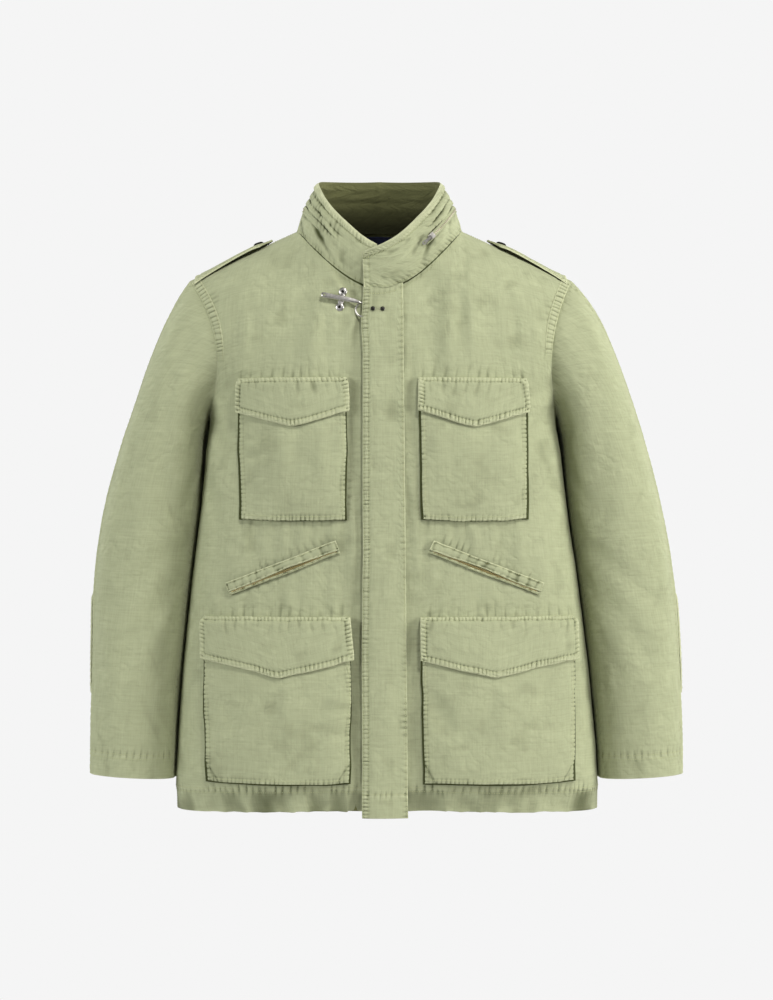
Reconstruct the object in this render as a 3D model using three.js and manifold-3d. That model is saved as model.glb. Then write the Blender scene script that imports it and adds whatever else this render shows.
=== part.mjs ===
// A field jacket of light cotton cloth, filled out as if it were worn, with nobody in it.
// Millimetres, +Z up, the front faces -Y, and +X is the wearer's left. The origin is the middle of
// the neck, level with the inner ends of the shoulder seams, where the wearer carries the jacket.
// Every cloth piece is a closed wall of its own, and the pieces stand a seam's gap apart.
import * as THREE from "three";
import { mergeVertices } from "three/addons/utils/BufferGeometryUtils.js";
import Module from "manifold-3d";

const wasm = await Module();
wasm.setup();

// Driving sizes.
const WALL = 1.5; // body and sleeve cloth with its seam allowance
const DOUBLE_WALL = 2; // two layers: flaps, straps and the fly
const SEAM_GAP = 0.3; // between two pieces that are sewn together
const HALF_GAP = 0.55 * SEAM_GAP;
const LIE_GAP = 0.9; // between a piece and the curved panel that it lies on
const HEM_Z = -746; // at the side seams
const HEM_RISE = 6; // the hem is this much higher in the middle
const ARMPIT_Z = -238;
const LEAN = 10; // the hem hangs this far to +X of the neck
const NECK_HALF = 107; // inner end of the shoulder seam from the middle
const NECK_DROP = 80; // front neck point below the shoulder seam's inner end
const NECK_BACK_RISE = 6;
const SHOULDER_X = 248;
const SHOULDER_SLOPE = 0.454; // drop of the shoulder seam for each mm outwards
const SHOULDER_ROUND = 90; // height over which the shoulder rolls over
const SECTION_POWER = 2.6; // squareness of the body's section
const FRONT_EDGE_X = 3; // the fronts end this far either side of the middle

const V = (x, y, z) => new THREE.Vector3(x, y, z);
const lerp = THREE.MathUtils.lerp;
const clamp = THREE.MathUtils.clamp;
const rad = THREE.MathUtils.degToRad;
const smooth = (t) => THREE.MathUtils.smoothstep(t, 0, 1);

// Body sections from the hem up: half the width, and how far the front and the back stand off the
// middle. Above the armpit the half width runs on inside the sleeve.
const BODY_SECTIONS = [
  { z: -760, half: 274, front: 127, back: 117 },
  { z: -690, half: 272.3, front: 125, back: 114 },
  { z: -585, half: 264.6, front: 121, back: 108 },
  { z: -465, half: 251.4, front: 117, back: 104 },
  { z: -360, half: 237.4, front: 118, back: 112 },
  { z: -290, half: 230, front: 118, back: 118 },
  { z: -238, half: 225, front: 115, back: 122 },
  { z: -150, half: 246, front: 104, back: 121 },
  { z: -100, half: 256, front: 92, back: 113 },
  { z: -60, half: 262, front: 82, back: 100 },
  { z: 0, half: 268, front: 72, back: 80 },
  { z: 40, half: 270, front: 68, back: 74 },
];

// Sleeve rings from the armhole to the cuff, as seen from the front: the outer point of the left and
// of the right sleeve, the height of the inner point and how far it stays off the body, half the
// depth, and the middle's place in Y.
const SLEEVE_RINGS = [
  { outLeft: 248, outRight: 248, outZ: -64, inZ: -238, clear: 0, depth: 68, mid: 0 },
  { outLeft: 276.5, outRight: 270.5, outZ: -97, inZ: -254, clear: 3.5, depth: 71, mid: 1 },
  { outLeft: 302.5, outRight: 297.5, outZ: -158, inZ: -277, clear: 4.5, depth: 73, mid: 2 },
  { outLeft: 324.5, outRight: 320.5, outZ: -220, inZ: -308, clear: 3, depth: 73, mid: 3 },
  { outLeft: 344, outRight: 343.5, outZ: -286, inZ: -345, clear: 2, depth: 71, mid: 3 },
  { outLeft: 359, outRight: 361, outZ: -348, inZ: -388, clear: 1.6, depth: 69, mid: 2 },
  { outLeft: 370, outRight: 372.5, outZ: -408, inZ: -430, clear: 1.5, depth: 66, mid: 0 },
  { outLeft: 377, outRight: 378.5, outZ: -465, inZ: -478, clear: 1.4, depth: 62, mid: -3 },
  { outLeft: 380, outRight: 380, outZ: -522, inZ: -530, clear: 1.4, depth: 58, mid: -7 },
  { outLeft: 381.5, outRight: 381, outZ: -580, inZ: -586, clear: 1.4, depth: 54, mid: -11 },
  { outLeft: 383, outRight: 383, outZ: -640, inZ: -645, clear: 1.4, depth: 49, mid: -15 },
  { outLeft: 383, outRight: 384, outZ: -701, inZ: -707, clear: 1.4, depth: 43, mid: -19 },
];
// How far the armhole curves in from its ends: the left front is turned a little more to the side.
const ARMHOLE_INSET = { left: 18, right: 25, back: 14 };
const ARMHOLE_CORE = V(222, 0, -153); // the walls at the armhole point at this place

// Collar, round the neck from the front, 0 degrees, to the back, 180: height of its top edge.
const COLLAR_TOP = [
  { angle: -30, z: -41 },
  { angle: 0, z: -25 },
  { angle: 15, z: -13 },
  { angle: 30, z: 4 },
  { angle: 45, z: 21 },
  { angle: 60, z: 38 },
  { angle: 75, z: 54 },
  { angle: 90, z: 63 },
  { angle: 115, z: 68 },
  { angle: 180, z: 72 },
];
const COLLAR_TOP_HALF = 80;
const COLLAR_TOP_FRONT = 88;
const COLLAR_TOP_BACK = 62;
const COLLAR_WALL = 2.5;
const COLLAR_LAP_RISE = 4.2; // how far the lapping end stands out
const COLLAR_RIDGES = [
  { level: 0.6, rise: 1.8, half: 0.07 },
  { level: 0.76, rise: 1.6, half: 0.06 },
  { level: 0.93, rise: 1.2, half: 0.05 },
];
const COLLAR_ZIP_LEVEL = 0.46;
const COLLAR_ZIP_FROM = 37; // degrees from the front, on both sides

// Soft folds of the front, seen from the front: a line from (x1, z1) to (x2, z2), half the width
// of the fold, and how far it stands out. Below 0 it is a trough.
const FRONT_FOLDS = [
  { x1: -36, z1: -140, x2: -38, z2: -330, half: 34, rise: -2.5 },
  { x1: -36, z1: -480, x2: -38, z2: -760, half: 32, rise: -4 },
  { x1: 40, z1: -490, x2: 42, z2: -760, half: 32, rise: -3.5 },
  { x1: -205, z1: -235, x2: -150, z2: -310, half: 36, rise: -3 },
  { x1: 208, z1: -235, x2: 150, z2: -320, half: 36, rise: -4 },
  { x1: 90, z1: -90, x2: 110, z2: -170, half: 34, rise: 2.5 },
  { x1: 150, z1: -720, x2: 160, z2: -770, half: 34, rise: 4 },
  { x1: -150, z1: -720, x2: -158, z2: -770, half: 34, rise: 3 },
  { x1: -120, z1: -390, x2: -135, z2: -490, half: 40, rise: -2.5 },
  { x1: 110, z1: -395, x2: 150, z2: -490, half: 40, rise: -3 },
];
const BACK_FOLDS = [
  { x1: -60, z1: -420, x2: -80, z2: -770, half: 38, rise: 6 },
  { x1: 70, z1: -440, x2: 95, z2: -770, half: 38, rise: 6 },
  { x1: 0, z1: -500, x2: 5, z2: -770, half: 36, rise: -5 },
  { x1: -190, z1: -240, x2: -110, z2: -330, half: 38, rise: -5 },
  { x1: 190, z1: -240, x2: 110, z2: -330, half: 38, rise: -5 },
  { x1: -185, z1: -520, x2: -195, z2: -770, half: 36, rise: 4 },
  { x1: 185, z1: -520, x2: 195, z2: -770, half: 36, rise: 4 },
];
// Soft folds of a sleeve: from ring and angle to ring and angle, 0 degrees at the outer point and
// below 0 to the front.
const SLEEVE_FOLDS = [
  { ring1: 1.2, angle1: -70, ring2: 4.5, angle2: -105, half: 18, rise: -4 },
  { ring1: 2, angle1: -30, ring2: 6.5, angle2: -50, half: 16, rise: 3 },
  { ring1: 5.8, angle1: -125, ring2: 7.2, angle2: -60, half: 15, rise: -4 },
  { ring1: 6.8, angle1: -130, ring2: 8.4, angle2: -75, half: 15, rise: -4 },
  { ring1: 8, angle1: -60, ring2: 10.6, angle2: -80, half: 16, rise: 3 },
  { ring1: 2, angle1: 80, ring2: 6, angle2: 100, half: 20, rise: -4 },
  { ring1: 6.2, angle1: 130, ring2: 6.6, angle2: 80, half: 24, rise: 2.5 },
];

// Pockets on the left front; the right front has them mirrored.
const CHEST_POCKET = { inner: 45, outer: 182.5, top: -194, bottom: -373, side: 43, tip: 61, lift: 5 };
const LOWER_POCKET = { inner: 44, outer: 238, top: -496, bottom: -705, side: 54, tip: 76, lift: 8 };
const RIGHT_LOWER_POCKET = { ...LOWER_POCKET, outer: 229 };
const FLAP_ABOVE_BAG = 7; // the bag starts this far under the flap's sewn edge
const FLAP_BESIDE_BAG = 2.5;
const SLANT_POCKET = { innerX: 58.5, innerZ: -407, outerX: 198, outerZ: -461, width: 16.5 };

// The fly hangs plumb, so its edges are places in the jacket's X, not in the leaning body's.
const FLY = { left: -20.5, topRight: 30, lowRight: 36, bottom: -748, freeGap: 4.4, sewnGap: LIE_GAP };
const STRAP = { outer: 241, tip: 139, point: 16, half: 23, lowLift: 0.9, highLift: 5.5 };
const ELBOW_PATCH = { ring: 8.2, angle: 50, halfRings: 1.3, halfAngle: 58 };

// The value of a table's column at a place, along a smooth curve through its rows.
function column(table, key, name, at) {
  const last = table.length - 1;
  const rising = (i) => i >= last || table[i][key] > at;
  let i = 0;
  while (i < last - 1 && !rising(i + 1)) i++;
  const slope = (k) => {
    const a = table[Math.max(0, k - 1)];
    const b = table[Math.min(last, k + 1)];
    return (b[name] - a[name]) / (b[key] - a[key]);
  };
  const from = table[i];
  const to = table[i + 1];
  const span = to[key] - from[key];
  const t = clamp((at - from[key]) / span, 0, 1);
  const rest = 1 - t;
  return (
    from[name] * (1 + 2 * t) * rest * rest +
    to[name] * t * t * (3 - 2 * t) +
    slope(i) * span * t * rest * rest -
    slope(i + 1) * span * t * t * rest
  );
}

// How far a list of soft folds moves the cloth at a place (a, b).
function foldRise(folds, a, b, ends) {
  let rise = 0;
  for (const fold of folds) {
    const [a1, b1, a2, b2] = ends(fold);
    const da = a2 - a1;
    const db = b2 - b1;
    const along = ((a - a1) * da + (b - b1) * db) / (da * da + db * db);
    const off = Math.hypot(a - a1 - along * da, b - b1 - along * db) / fold.half;
    const past = Math.max(0, -along, along - 1);
    const overrun = (past * Math.hypot(da, db)) / (1.5 * fold.half);
    rise += fold.rise * Math.exp(-off * off - overrun * overrun);
  }
  return rise;
}
const flatEnds = (f) => [f.x1, f.z1, f.x2, f.z2];
const RING_SPAN = 60; // millimetres from ring to ring, so that folds measure alike both ways
const ANGLE_SPAN = 1.1; // millimetres for each degree round the sleeve
const sleeveEnds = (f) => [
  f.ring1 * RING_SPAN,
  f.angle1 * ANGLE_SPAN,
  f.ring2 * RING_SPAN,
  f.angle2 * ANGLE_SPAN,
];

const bodyHalf = (z) => column(BODY_SECTIONS, "z", "half", z);
const lean = (z) => LEAN * Math.max(0, z / HEM_Z) ** 0.75;
const ringInX = (ring) => bodyHalf(ring.inZ) + ring.clear;

// Height of the shoulder seam, and of the line that it would follow across the neck.
function ridge(x) {
  const past = Math.abs(x) - NECK_HALF;
  return past > 0 ? -SHOULDER_SLOPE * past : -0.9 * past;
}

// How far the body stands off the middle plane, side "front" or "back", seen from the front.
function bodyDepth(side, x, z) {
  const across = Math.min(1, Math.abs(x) / bodyHalf(z));
  const round = (1 - across ** SECTION_POWER) ** (1 / SECTION_POWER);
  const under = clamp((ridge(x) - z) / SHOULDER_ROUND, 0, 1);
  const shoulder = Math.sqrt(1 - (1 - under) ** 2);
  const folds = side === "front" ? FRONT_FOLDS : BACK_FOLDS;
  const rise = foldRise(folds, x, z, flatEnds) * Math.min(1, 2 * round) * shoulder;
  return column(BODY_SECTIONS, "z", side, z) * round * shoulder + rise;
}

const facing = (side) => (side === "front" ? -1 : 1);
const bodyPoint = (side, x, z) => V(x + lean(z), facing(side) * bodyDepth(side, x, z), z);

function bodyNormal(side, x, z) {
  const step = 2;
  const alongX = bodyPoint(side, x + step, z).sub(bodyPoint(side, x - step, z));
  const alongZ = bodyPoint(side, x, z + step).sub(bodyPoint(side, x, z - step));
  const normal = alongX.cross(alongZ).normalize();
  return normal.y * facing(side) < 0 ? normal.negate() : normal;
}

const bodyOffset = (side, x, z, out) =>
  bodyPoint(side, x, z).addScaledVector(bodyNormal(side, x, z), out);

// The armhole from the armpit, turn 0, to the shoulder point, turn 1.
function armhole(side, hand, turn) {
  const top = SLEEVE_RINGS[0];
  const c = Math.cos(Math.PI * turn);
  const midX = (SHOULDER_X + ringInX(top)) / 2;
  const midZ = (top.outZ + top.inZ) / 2;
  const frontInset = hand > 0 ? ARMHOLE_INSET.left : ARMHOLE_INSET.right;
  const inset = side === "front" ? frontInset : ARMHOLE_INSET.back;
  const x = midX - (SHOULDER_X - midX) * c - inset * (1 - c * c);
  const z = midZ - (top.outZ - midZ) * c;
  return { x, z };
}

const neckZ = (x) => -NECK_DROP * (1 - (Math.abs(x) / NECK_HALF) ** 1.7);
const backNeckZ = (x) => NECK_BACK_RISE * (1 - (x / NECK_HALF) ** 2);

// The way that a wall's thickness runs where the neck seam or the armhole seam is.
function neckInward(point) {
  const front = clamp(-point.y / 85, -1, 1);
  return V(-point.x, -point.y, -35 + 25 * front).normalize();
}
function armholeInward(point) {
  const core = ARMHOLE_CORE.clone();
  core.x *= Math.sign(point.x);
  return core.sub(point).normalize();
}

// A closed geometry from two grids of points, the outer and the inner face of a sheet.
function sheetGeometry(outer, inner) {
  const rows = outer.length;
  const cols = outer[0].length;
  const points = [...outer.flat(), ...inner.flat()];
  const at = (face, i, j) => face * rows * cols + i * cols + j;
  const index = [];
  const quad = (a, b, c, d) => index.push(a, b, c, a, c, d);
  for (let i = 0; i < rows - 1; i++) {
    for (let j = 0; j < cols - 1; j++) {
      quad(at(0, i, j), at(0, i, j + 1), at(0, i + 1, j + 1), at(0, i + 1, j));
      quad(at(1, i, j), at(1, i + 1, j), at(1, i + 1, j + 1), at(1, i, j + 1));
    }
  }
  for (let j = 0; j < cols - 1; j++) {
    quad(at(0, 0, j), at(1, 0, j), at(1, 0, j + 1), at(0, 0, j + 1));
    const end = rows - 1;
    quad(at(0, end, j), at(0, end, j + 1), at(1, end, j + 1), at(1, end, j));
  }
  for (let i = 0; i < rows - 1; i++) {
    quad(at(0, i, 0), at(0, i + 1, 0), at(1, i + 1, 0), at(1, i, 0));
    const end = cols - 1;
    quad(at(0, i, end), at(1, i, end), at(1, i + 1, end), at(0, i + 1, end));
  }
  return facingOut(points, index);
}

// A geometry from points and triangles, turned so that its faces point out.
function facingOut(points, index) {
  let volume = 0;
  for (let i = 0; i < index.length; i += 3) {
    const [a, b, c] = [points[index[i]], points[index[i + 1]], points[index[i + 2]]];
    volume += a.dot(b.clone().cross(c));
  }
  if (volume < 0) {
    for (let i = 0; i < index.length; i += 3) {
      [index[i + 1], index[i + 2]] = [index[i + 2], index[i + 1]];
    }
  }
  return new THREE.BufferGeometry().setFromPoints(points).setIndex(index);
}

// The directions that run into the cloth from each point of a grid: away from "outside".
function inwardOf(grid, outside) {
  const rows = grid.length - 1;
  const cols = grid[0].length - 1;
  return grid.map((row, i) =>
    row.map((point, j) => {
      const up = grid[Math.min(rows, i + 1)][j].clone().sub(grid[Math.max(0, i - 1)][j]);
      const on = row[Math.min(cols, j + 1)].clone().sub(row[Math.max(0, j - 1)]);
      const normal = up.cross(on).normalize();
      return normal.dot(outside(point)) > 0 ? normal.negate() : normal;
    }),
  );
}

// A sewn wall from the grid of its outer face. "edge" gives the shared direction of the wall at a
// seam, or nothing inside the piece. Seam edges are drawn back by "back", half a seam's gap or more.
function sewnWall(grid, outside, thickness, back, edge) {
  const rows = grid.length - 1;
  const cols = grid[0].length - 1;
  const inward = inwardOf(grid, outside);
  const outer = grid.map((row) => row.map((point) => point.clone()));
  const inner = grid.map((row, i) =>
    row.map((point, j) => {
      const shared = edge(i, j, point);
      if (shared) {
        const towards = (k, l) => grid[k][l].clone().sub(point).normalize();
        const away = V(0, 0, 0);
        if (j === 0) away.add(towards(i, 1));
        if (j === cols) away.add(towards(i, cols - 1));
        if (i === 0) away.add(towards(1, j));
        if (i === rows) away.add(towards(rows - 1, j));
        outer[i][j].addScaledVector(away, back);
      }
      return outer[i][j].clone().addScaledVector(shared ?? inward[i][j], thickness);
    }),
  );
  return sheetGeometry(outer, inner);
}

const steps = (count) => Array.from({ length: count + 1 }, (_, i) => i / count);

// Levels of a body panel: the side edge from the hem to the armpit, then up the armhole.
const SIDE_STEPS = 14;
const ARMHOLE_STEPS = 12;
function panelLevels(side, hand) {
  const low = steps(SIDE_STEPS).map((t) => {
    const z = lerp(HEM_Z, ARMPIT_Z, t);
    return { x: bodyHalf(z), z };
  });
  const high = steps(ARMHOLE_STEPS).slice(1);
  return [...low, ...high.map((t) => armhole(side, hand, t))];
}

const NECK_STEPS = 6;
const SHOULDER_STEPS = 8;
// Columns of a body panel from the middle to the side, as places along its shoulder edge.
function panelColumns(from) {
  const quarter = (t) => Math.sin((t * Math.PI) / 2);
  const neck = [from, ...steps(NECK_STEPS).slice(1).map((t) => NECK_HALF * quarter(t))];
  const shoulder = steps(SHOULDER_STEPS).slice(1);
  return [...neck, ...shoulder.map((t) => lerp(NECK_HALF, SHOULDER_X, quarter(t)))];
}

// The grid of half a body panel, from x = from to the side seam, hem to shoulder.
function panelGrid(side, hand, from) {
  const topOf = (x) => {
    if (x >= NECK_HALF - 0.01) return ridge(x);
    return side === "front" ? neckZ(x) : backNeckZ(x);
  };
  const full = ridge(SHOULDER_X) - HEM_Z;
  return panelLevels(side, hand).map((level) =>
    panelColumns(from).map((top) => {
      const share = (top - from) / (SHOULDER_X - from);
      const x = from + (level.x - from) * share;
      const hem = HEM_Z + HEM_RISE * (1 - share * share);
      const z = hem + ((level.z - HEM_Z) / full) * (topOf(top) - hem);
      return bodyPoint(side, hand * x, z);
    }),
  );
}

// The shared wall direction at the seams of a body panel, by row and by column from the middle.
function panelEdge(row, place, point) {
  if (place === NECK_STEPS + SHOULDER_STEPS) {
    return row < SIDE_STEPS ? V(-Math.sign(point.x), 0, 0) : armholeInward(point);
  }
  if (row < SIDE_STEPS + ARMHOLE_STEPS) return null;
  return place > NECK_STEPS ? V(0, 0, -1) : neckInward(point);
}

function frontPanel(hand) {
  const grid = panelGrid("front", hand, FRONT_EDGE_X);
  const outside = (p) => V(p.x, -260, 0);
  return sewnWall(grid, outside, WALL, HALF_GAP, (i, j, p) => panelEdge(i, j, p));
}

function backPanel() {
  const left = panelGrid("back", 1, 0);
  const right = panelGrid("back", -1, 0);
  const grid = left.map((row, i) => [...right[i].slice(1).reverse(), ...row]);
  const middle = NECK_STEPS + SHOULDER_STEPS;
  const outside = (p) => V(p.x, 260, 0);
  return sewnWall(grid, outside, WALL, HALF_GAP, (i, j, p) =>
    panelEdge(i, Math.abs(j - middle), p),
  );
}

// A point of a sleeve's outer face: ring 0 at the armhole, angle 0 at the outer point and below 0
// to the front.
const RINGS = SLEEVE_RINGS.map((ring, at) => ({ ...ring, inX: ringInX(ring), at }));
function sleevePoint(hand, ring, angle) {
  const turned = ((angle + 540) % 360) - 180;
  const part = (name) => column(RINGS, "at", name, ring);
  const c = Math.cos(rad(turned));
  const s = Math.sin(rad(turned));
  const outX = part(hand > 0 ? "outLeft" : "outRight");
  const midX = (outX + part("inX")) / 2;
  const midZ = (part("outZ") + part("inZ")) / 2;
  const x = midX + (outX - midX) * c;
  const z = midZ + (part("outZ") - midZ) * c;
  const round = V(x, part("mid") + part("depth") * s, z);
  const side = s < 0 ? "front" : "back";
  const seam = armhole(side, hand, 1 - Math.abs(turned) / 180);
  const start = V(seam.x, facing(side) * bodyDepth(side, hand * seam.x, seam.z), seam.z);
  const point = start.lerp(round, smooth(ring / 1.6));
  const fold = foldRise(SLEEVE_FOLDS, ring * RING_SPAN, turned * ANGLE_SPAN, sleeveEnds);
  const fade = smooth(ring) * smooth((11 - ring) / 1.2);
  point.addScaledVector(V(c, s, 0), fold * fade);
  return V(hand * point.x + lean(point.z), point.y, point.z);
}

function sleeveNormal(hand, ring, angle) {
  const along = sleevePoint(hand, ring + 0.05, angle).sub(sleevePoint(hand, ring - 0.05, angle));
  const round = sleevePoint(hand, ring, angle + 2).sub(sleevePoint(hand, ring, angle - 2));
  return along.cross(round).normalize().multiplyScalar(hand);
}

const FRONT_SLEEVE_SEAM = -165;
const BACK_SLEEVE_SEAM = -15;
const SLEEVE_STEPS = 17;
const SLEEVE_PITCH = 180 / ARMHOLE_STEPS; // each column starts at a point that the body has too

// One of the two pieces of a sleeve, from one seam round to the other.
function sleevePiece(hand, from, to) {
  const count = (to - from) / SLEEVE_PITCH;
  const last = SLEEVE_RINGS.length - 1;
  const grid = steps(SLEEVE_STEPS).map((t) =>
    steps(count).map((u) => sleevePoint(hand, last * t ** 1.15, lerp(from, to, u))),
  );
  const outside = (p) => {
    const core = V(hand * (232 + 0.16 * clamp(-153 - p.z, 0, 560)), 0, p.z);
    return p.clone().sub(core);
  };
  return sewnWall(grid, outside, WALL, SEAM_GAP, (i, j, p) => {
    if (i === 0) return armholeInward(p);
    if (j !== 0 && j !== count) return null;
    const angle = j === 0 ? from : to;
    return sleeveNormal(hand, last * (i / SLEEVE_STEPS) ** 1.15, angle).negate();
  });
}

// The neck seam at an angle round the neck, 0 at the front and 90 at the wearer's left: straight
// between the points that the body panels have there.
function neckSeam(angle) {
  const pitch = 90 / NECK_STEPS;
  const size = Math.abs(angle);
  const first = Math.floor(size / pitch) * pitch;
  const pointAt = (turn) => {
    const side = turn < 90 ? "front" : "back";
    const x = Math.max(FRONT_EDGE_X * (turn < 90), NECK_HALF * Math.sin(rad(turn)));
    const z = turn < 90 ? neckZ(x) : backNeckZ(x);
    return bodyPoint(side, x * Math.sign(angle || 1), z);
  };
  return pointAt(first).lerp(pointAt(first + pitch), (size - first) / pitch);
}

// A point of the collar's outer face: level 0 at the neck seam and 1 at the top. "lap" from 0 to 1
// stands it out where it laps over the other end.
function collarPoint(angle, level, lap) {
  const s = Math.sin(rad(angle));
  const c = Math.cos(rad(angle));
  const front = c > 0;
  const low = neckSeam(angle);
  if (lap && angle < 0) low.copy(bodyPoint("front", NECK_HALF * s, -NECK_DROP + 1));
  low.z += 0.5 * SEAM_GAP;
  const topZ = column(COLLAR_TOP, "angle", "z", lap ? angle : Math.abs(angle));
  const high = V(COLLAR_TOP_HALF * s, -(front ? COLLAR_TOP_FRONT : COLLAR_TOP_BACK) * c, topZ);
  const point = low.lerp(high, level);
  const outward = V(s, -c, 0);
  const sideways = smooth((Math.abs(angle) - 28) / 20);
  let rise = 3 * Math.sin(Math.PI * level);
  for (const fold of COLLAR_RIDGES) {
    const off = (level - fold.level) / fold.half;
    rise += sideways * fold.rise * Math.exp(-off * off);
  }
  point.addScaledVector(outward, rise + lap * COLLAR_LAP_RISE);
  return point;
}

const lapAt = (angle) => smooth((40 - angle) / 22);
// The angle at which the lapping end stands plumb over the fly's edge.
const lapEnd = (level) => -Math.asin(-FLY.left / lerp(NECK_HALF, COLLAR_TOP_HALF, level)) / rad(1);
const COLLAR_LEVELS = [0, 0.2, 0.4, 0.53, 0.61, 0.69, 0.77, 0.88, 1];
const COLLAR_TURNS = [30, 37, 45, 52, 60, 67, 75, 82, 90, 105, 120, 135, 150, 165];

function collar() {
  // From the right end, under the lap, round the back to the left end.
  const right = [2, 8, 15, 22, ...COLLAR_TURNS];
  const left = [180, ...COLLAR_TURNS.toReversed(), 22, 15, 8, 0];
  const turnsAt = (level) => {
    const end = lapEnd(level);
    return [...right.map((angle) => -angle), ...left, end / 2, end];
  };
  const grid = COLLAR_LEVELS.map((level) =>
    turnsAt(level).map((angle, j) =>
      collarPoint(angle, level, j > right.length ? lapAt(angle) : 0),
    ),
  );
  const outside = (p) => V(p.x, p.y, 0);
  return sewnWall(grid, outside, COLLAR_WALL, HALF_GAP, (i, j, p) =>
    i === 0 ? neckInward(p) : null,
  );
}

// A strip or patch on the body: rows of [x, z, out, wall] from which both faces are made.
function bodyPatch(side, rows) {
  const face = (pick) =>
    rows.map((row) => row.map((cell) => bodyOffset(side, cell.x, cell.z, pick(cell))));
  return sheetGeometry(
    face((cell) => cell.out + cell.wall),
    face((cell) => cell.out),
  );
}

function frontZip() {
  const rows = steps(18).map((t) => {
    const z = lerp(HEM_Z + 5, -NECK_DROP - 8, t);
    return [-14, 0, 14].map((x) => ({ x, z, out: -WALL - LIE_GAP - 1.5, wall: 1.5 }));
  });
  return bodyPatch("front", rows);
}

const flyGap = (share) => lerp(FLY.freeGap, FLY.sewnGap, smooth((share - 0.15) / 0.85));

function fly() {
  const rows = steps(20).map((t) =>
    [0, 0.18, 0.4, 0.7, 1].map((share) => {
      const right = lerp(FLY.lowRight, FLY.topRight, t);
      const across = lerp(FLY.left, right, share);
      const top = (across > 0 ? neckZ(across) : -NECK_DROP) - 2;
      const z = lerp(FLY.bottom, top, t);
      return { x: across - lean(z), z, out: flyGap(share), wall: DOUBLE_WALL };
    }),
  );
  return bodyPatch("front", rows);
}

// A bellows pocket: a tray of cloth, open to the body, whose walls stand off the front by "lift".
function pocketBag(hand, pocket) {
  const top = pocket.top - FLAP_ABOVE_BAG;
  const inner = pocket.inner + FLAP_BESIDE_BAG;
  const outer = pocket.outer - FLAP_BESIDE_BAG;
  const across = [0, 0, 0.12, 0.28, 0.44, 0.6, 0.74, 0.88, 1, 1];
  const down = [0, 0, 0.12, 0.31, 0.5, 0.69, 0.88, 1, 1];
  const place = (i, j, inset, fall) => {
    const rim = i === 0 || i === down.length - 1 || j === 0 || j === across.length - 1;
    const x = lerp(inner + inset, outer - inset, across[j]);
    const z = lerp(pocket.bottom + inset, top - inset, down[i]);
    const puff = 5 * Math.sin(Math.PI * across[j]) * Math.sin(Math.PI * down[i]);
    const out = rim ? LIE_GAP : pocket.lift - fall + puff * smooth((1 - down[i]) * 3);
    return bodyOffset("front", hand * x, z, out);
  };
  const grid = (inset, fall) => down.map((_, i) => across.map((_, j) => place(i, j, inset, fall)));
  return sheetGeometry(grid(0, 0), grid(WALL, WALL));
}

// A pointed flap, sewn down along its top edge and lying over the pocket.
function pocketFlap(hand, pocket) {
  const across = [0, 0.12, 0.26, 0.38, 0.5, 0.62, 0.74, 0.88, 1];
  const rise = 5; // height in which the flap climbs from the front on to the bag
  const downTo = (u) => lerp(pocket.side, pocket.tip, 1 - Math.abs(2 * u - 1));
  const rows = [0, 1, 2, 3, 4, 5].map((i) =>
    across.map((u) => {
      const depth = i === 0 ? 0 : lerp(rise, downTo(u), (i - 1) / 4);
      const x = lerp(pocket.inner, pocket.outer, u);
      const z = pocket.top - depth;
      const share = (pocket.top - FLAP_ABOVE_BAG - z) / (pocket.top - FLAP_ABOVE_BAG - pocket.bottom);
      const below = clamp(share, 0, 1);
      const puff = 5 * Math.sin(Math.PI * u) * Math.sin(Math.PI * below);
      const out = i === 0 ? 1.4 * LIE_GAP : pocket.lift + 1.3 + puff;
      return { x: hand * x, z, out, wall: DOUBLE_WALL };
    }),
  );
  return bodyPatch("front", rows);
}

// A band of a slanted pocket: from "low" to "high" across its width, "short" of its ends.
function slantBand(hand, low, high, short, out, wall) {
  const p = SLANT_POCKET;
  const length = Math.hypot(p.outerX - p.innerX, p.outerZ - p.innerZ);
  const along = { x: (p.outerX - p.innerX) / length, z: (p.outerZ - p.innerZ) / length };
  const rows = [low, high].map((width) =>
    steps(8).map((t) => {
      const go = lerp(short, length - short, t);
      const x = p.innerX + along.x * go - along.z * width;
      const z = p.innerZ + along.z * go + along.x * width;
      return { x: hand * x, z, out, wall };
    }),
  );
  return bodyPatch("front", rows);
}
const HALF_SLANT = SLANT_POCKET.width / 2;
const SLANT_MOUTH = -4.6; // the zip shows here, from the band's middle line
const slantWelt = (hand) => slantBand(hand, SLANT_MOUTH + 0.9, HALF_SLANT, 0, 2.3, 1.5);
const slantLip = (hand) => slantBand(hand, -HALF_SLANT, SLANT_MOUTH - 0.9, 0, 2.3, 1.2);
const slantZip = (hand) => slantBand(hand, -HALF_SLANT + 1, HALF_SLANT - 3, 3, LIE_GAP, 1);

function label() {
  const rows = [-24, -11, 2].map((z) =>
    [-35, -18, 0, 18, 35].map((x) => ({ x, z, out: -WALL - 1.6 * LIE_GAP - 1, wall: 1 })),
  );
  return bodyPatch("back", rows);
}

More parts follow.
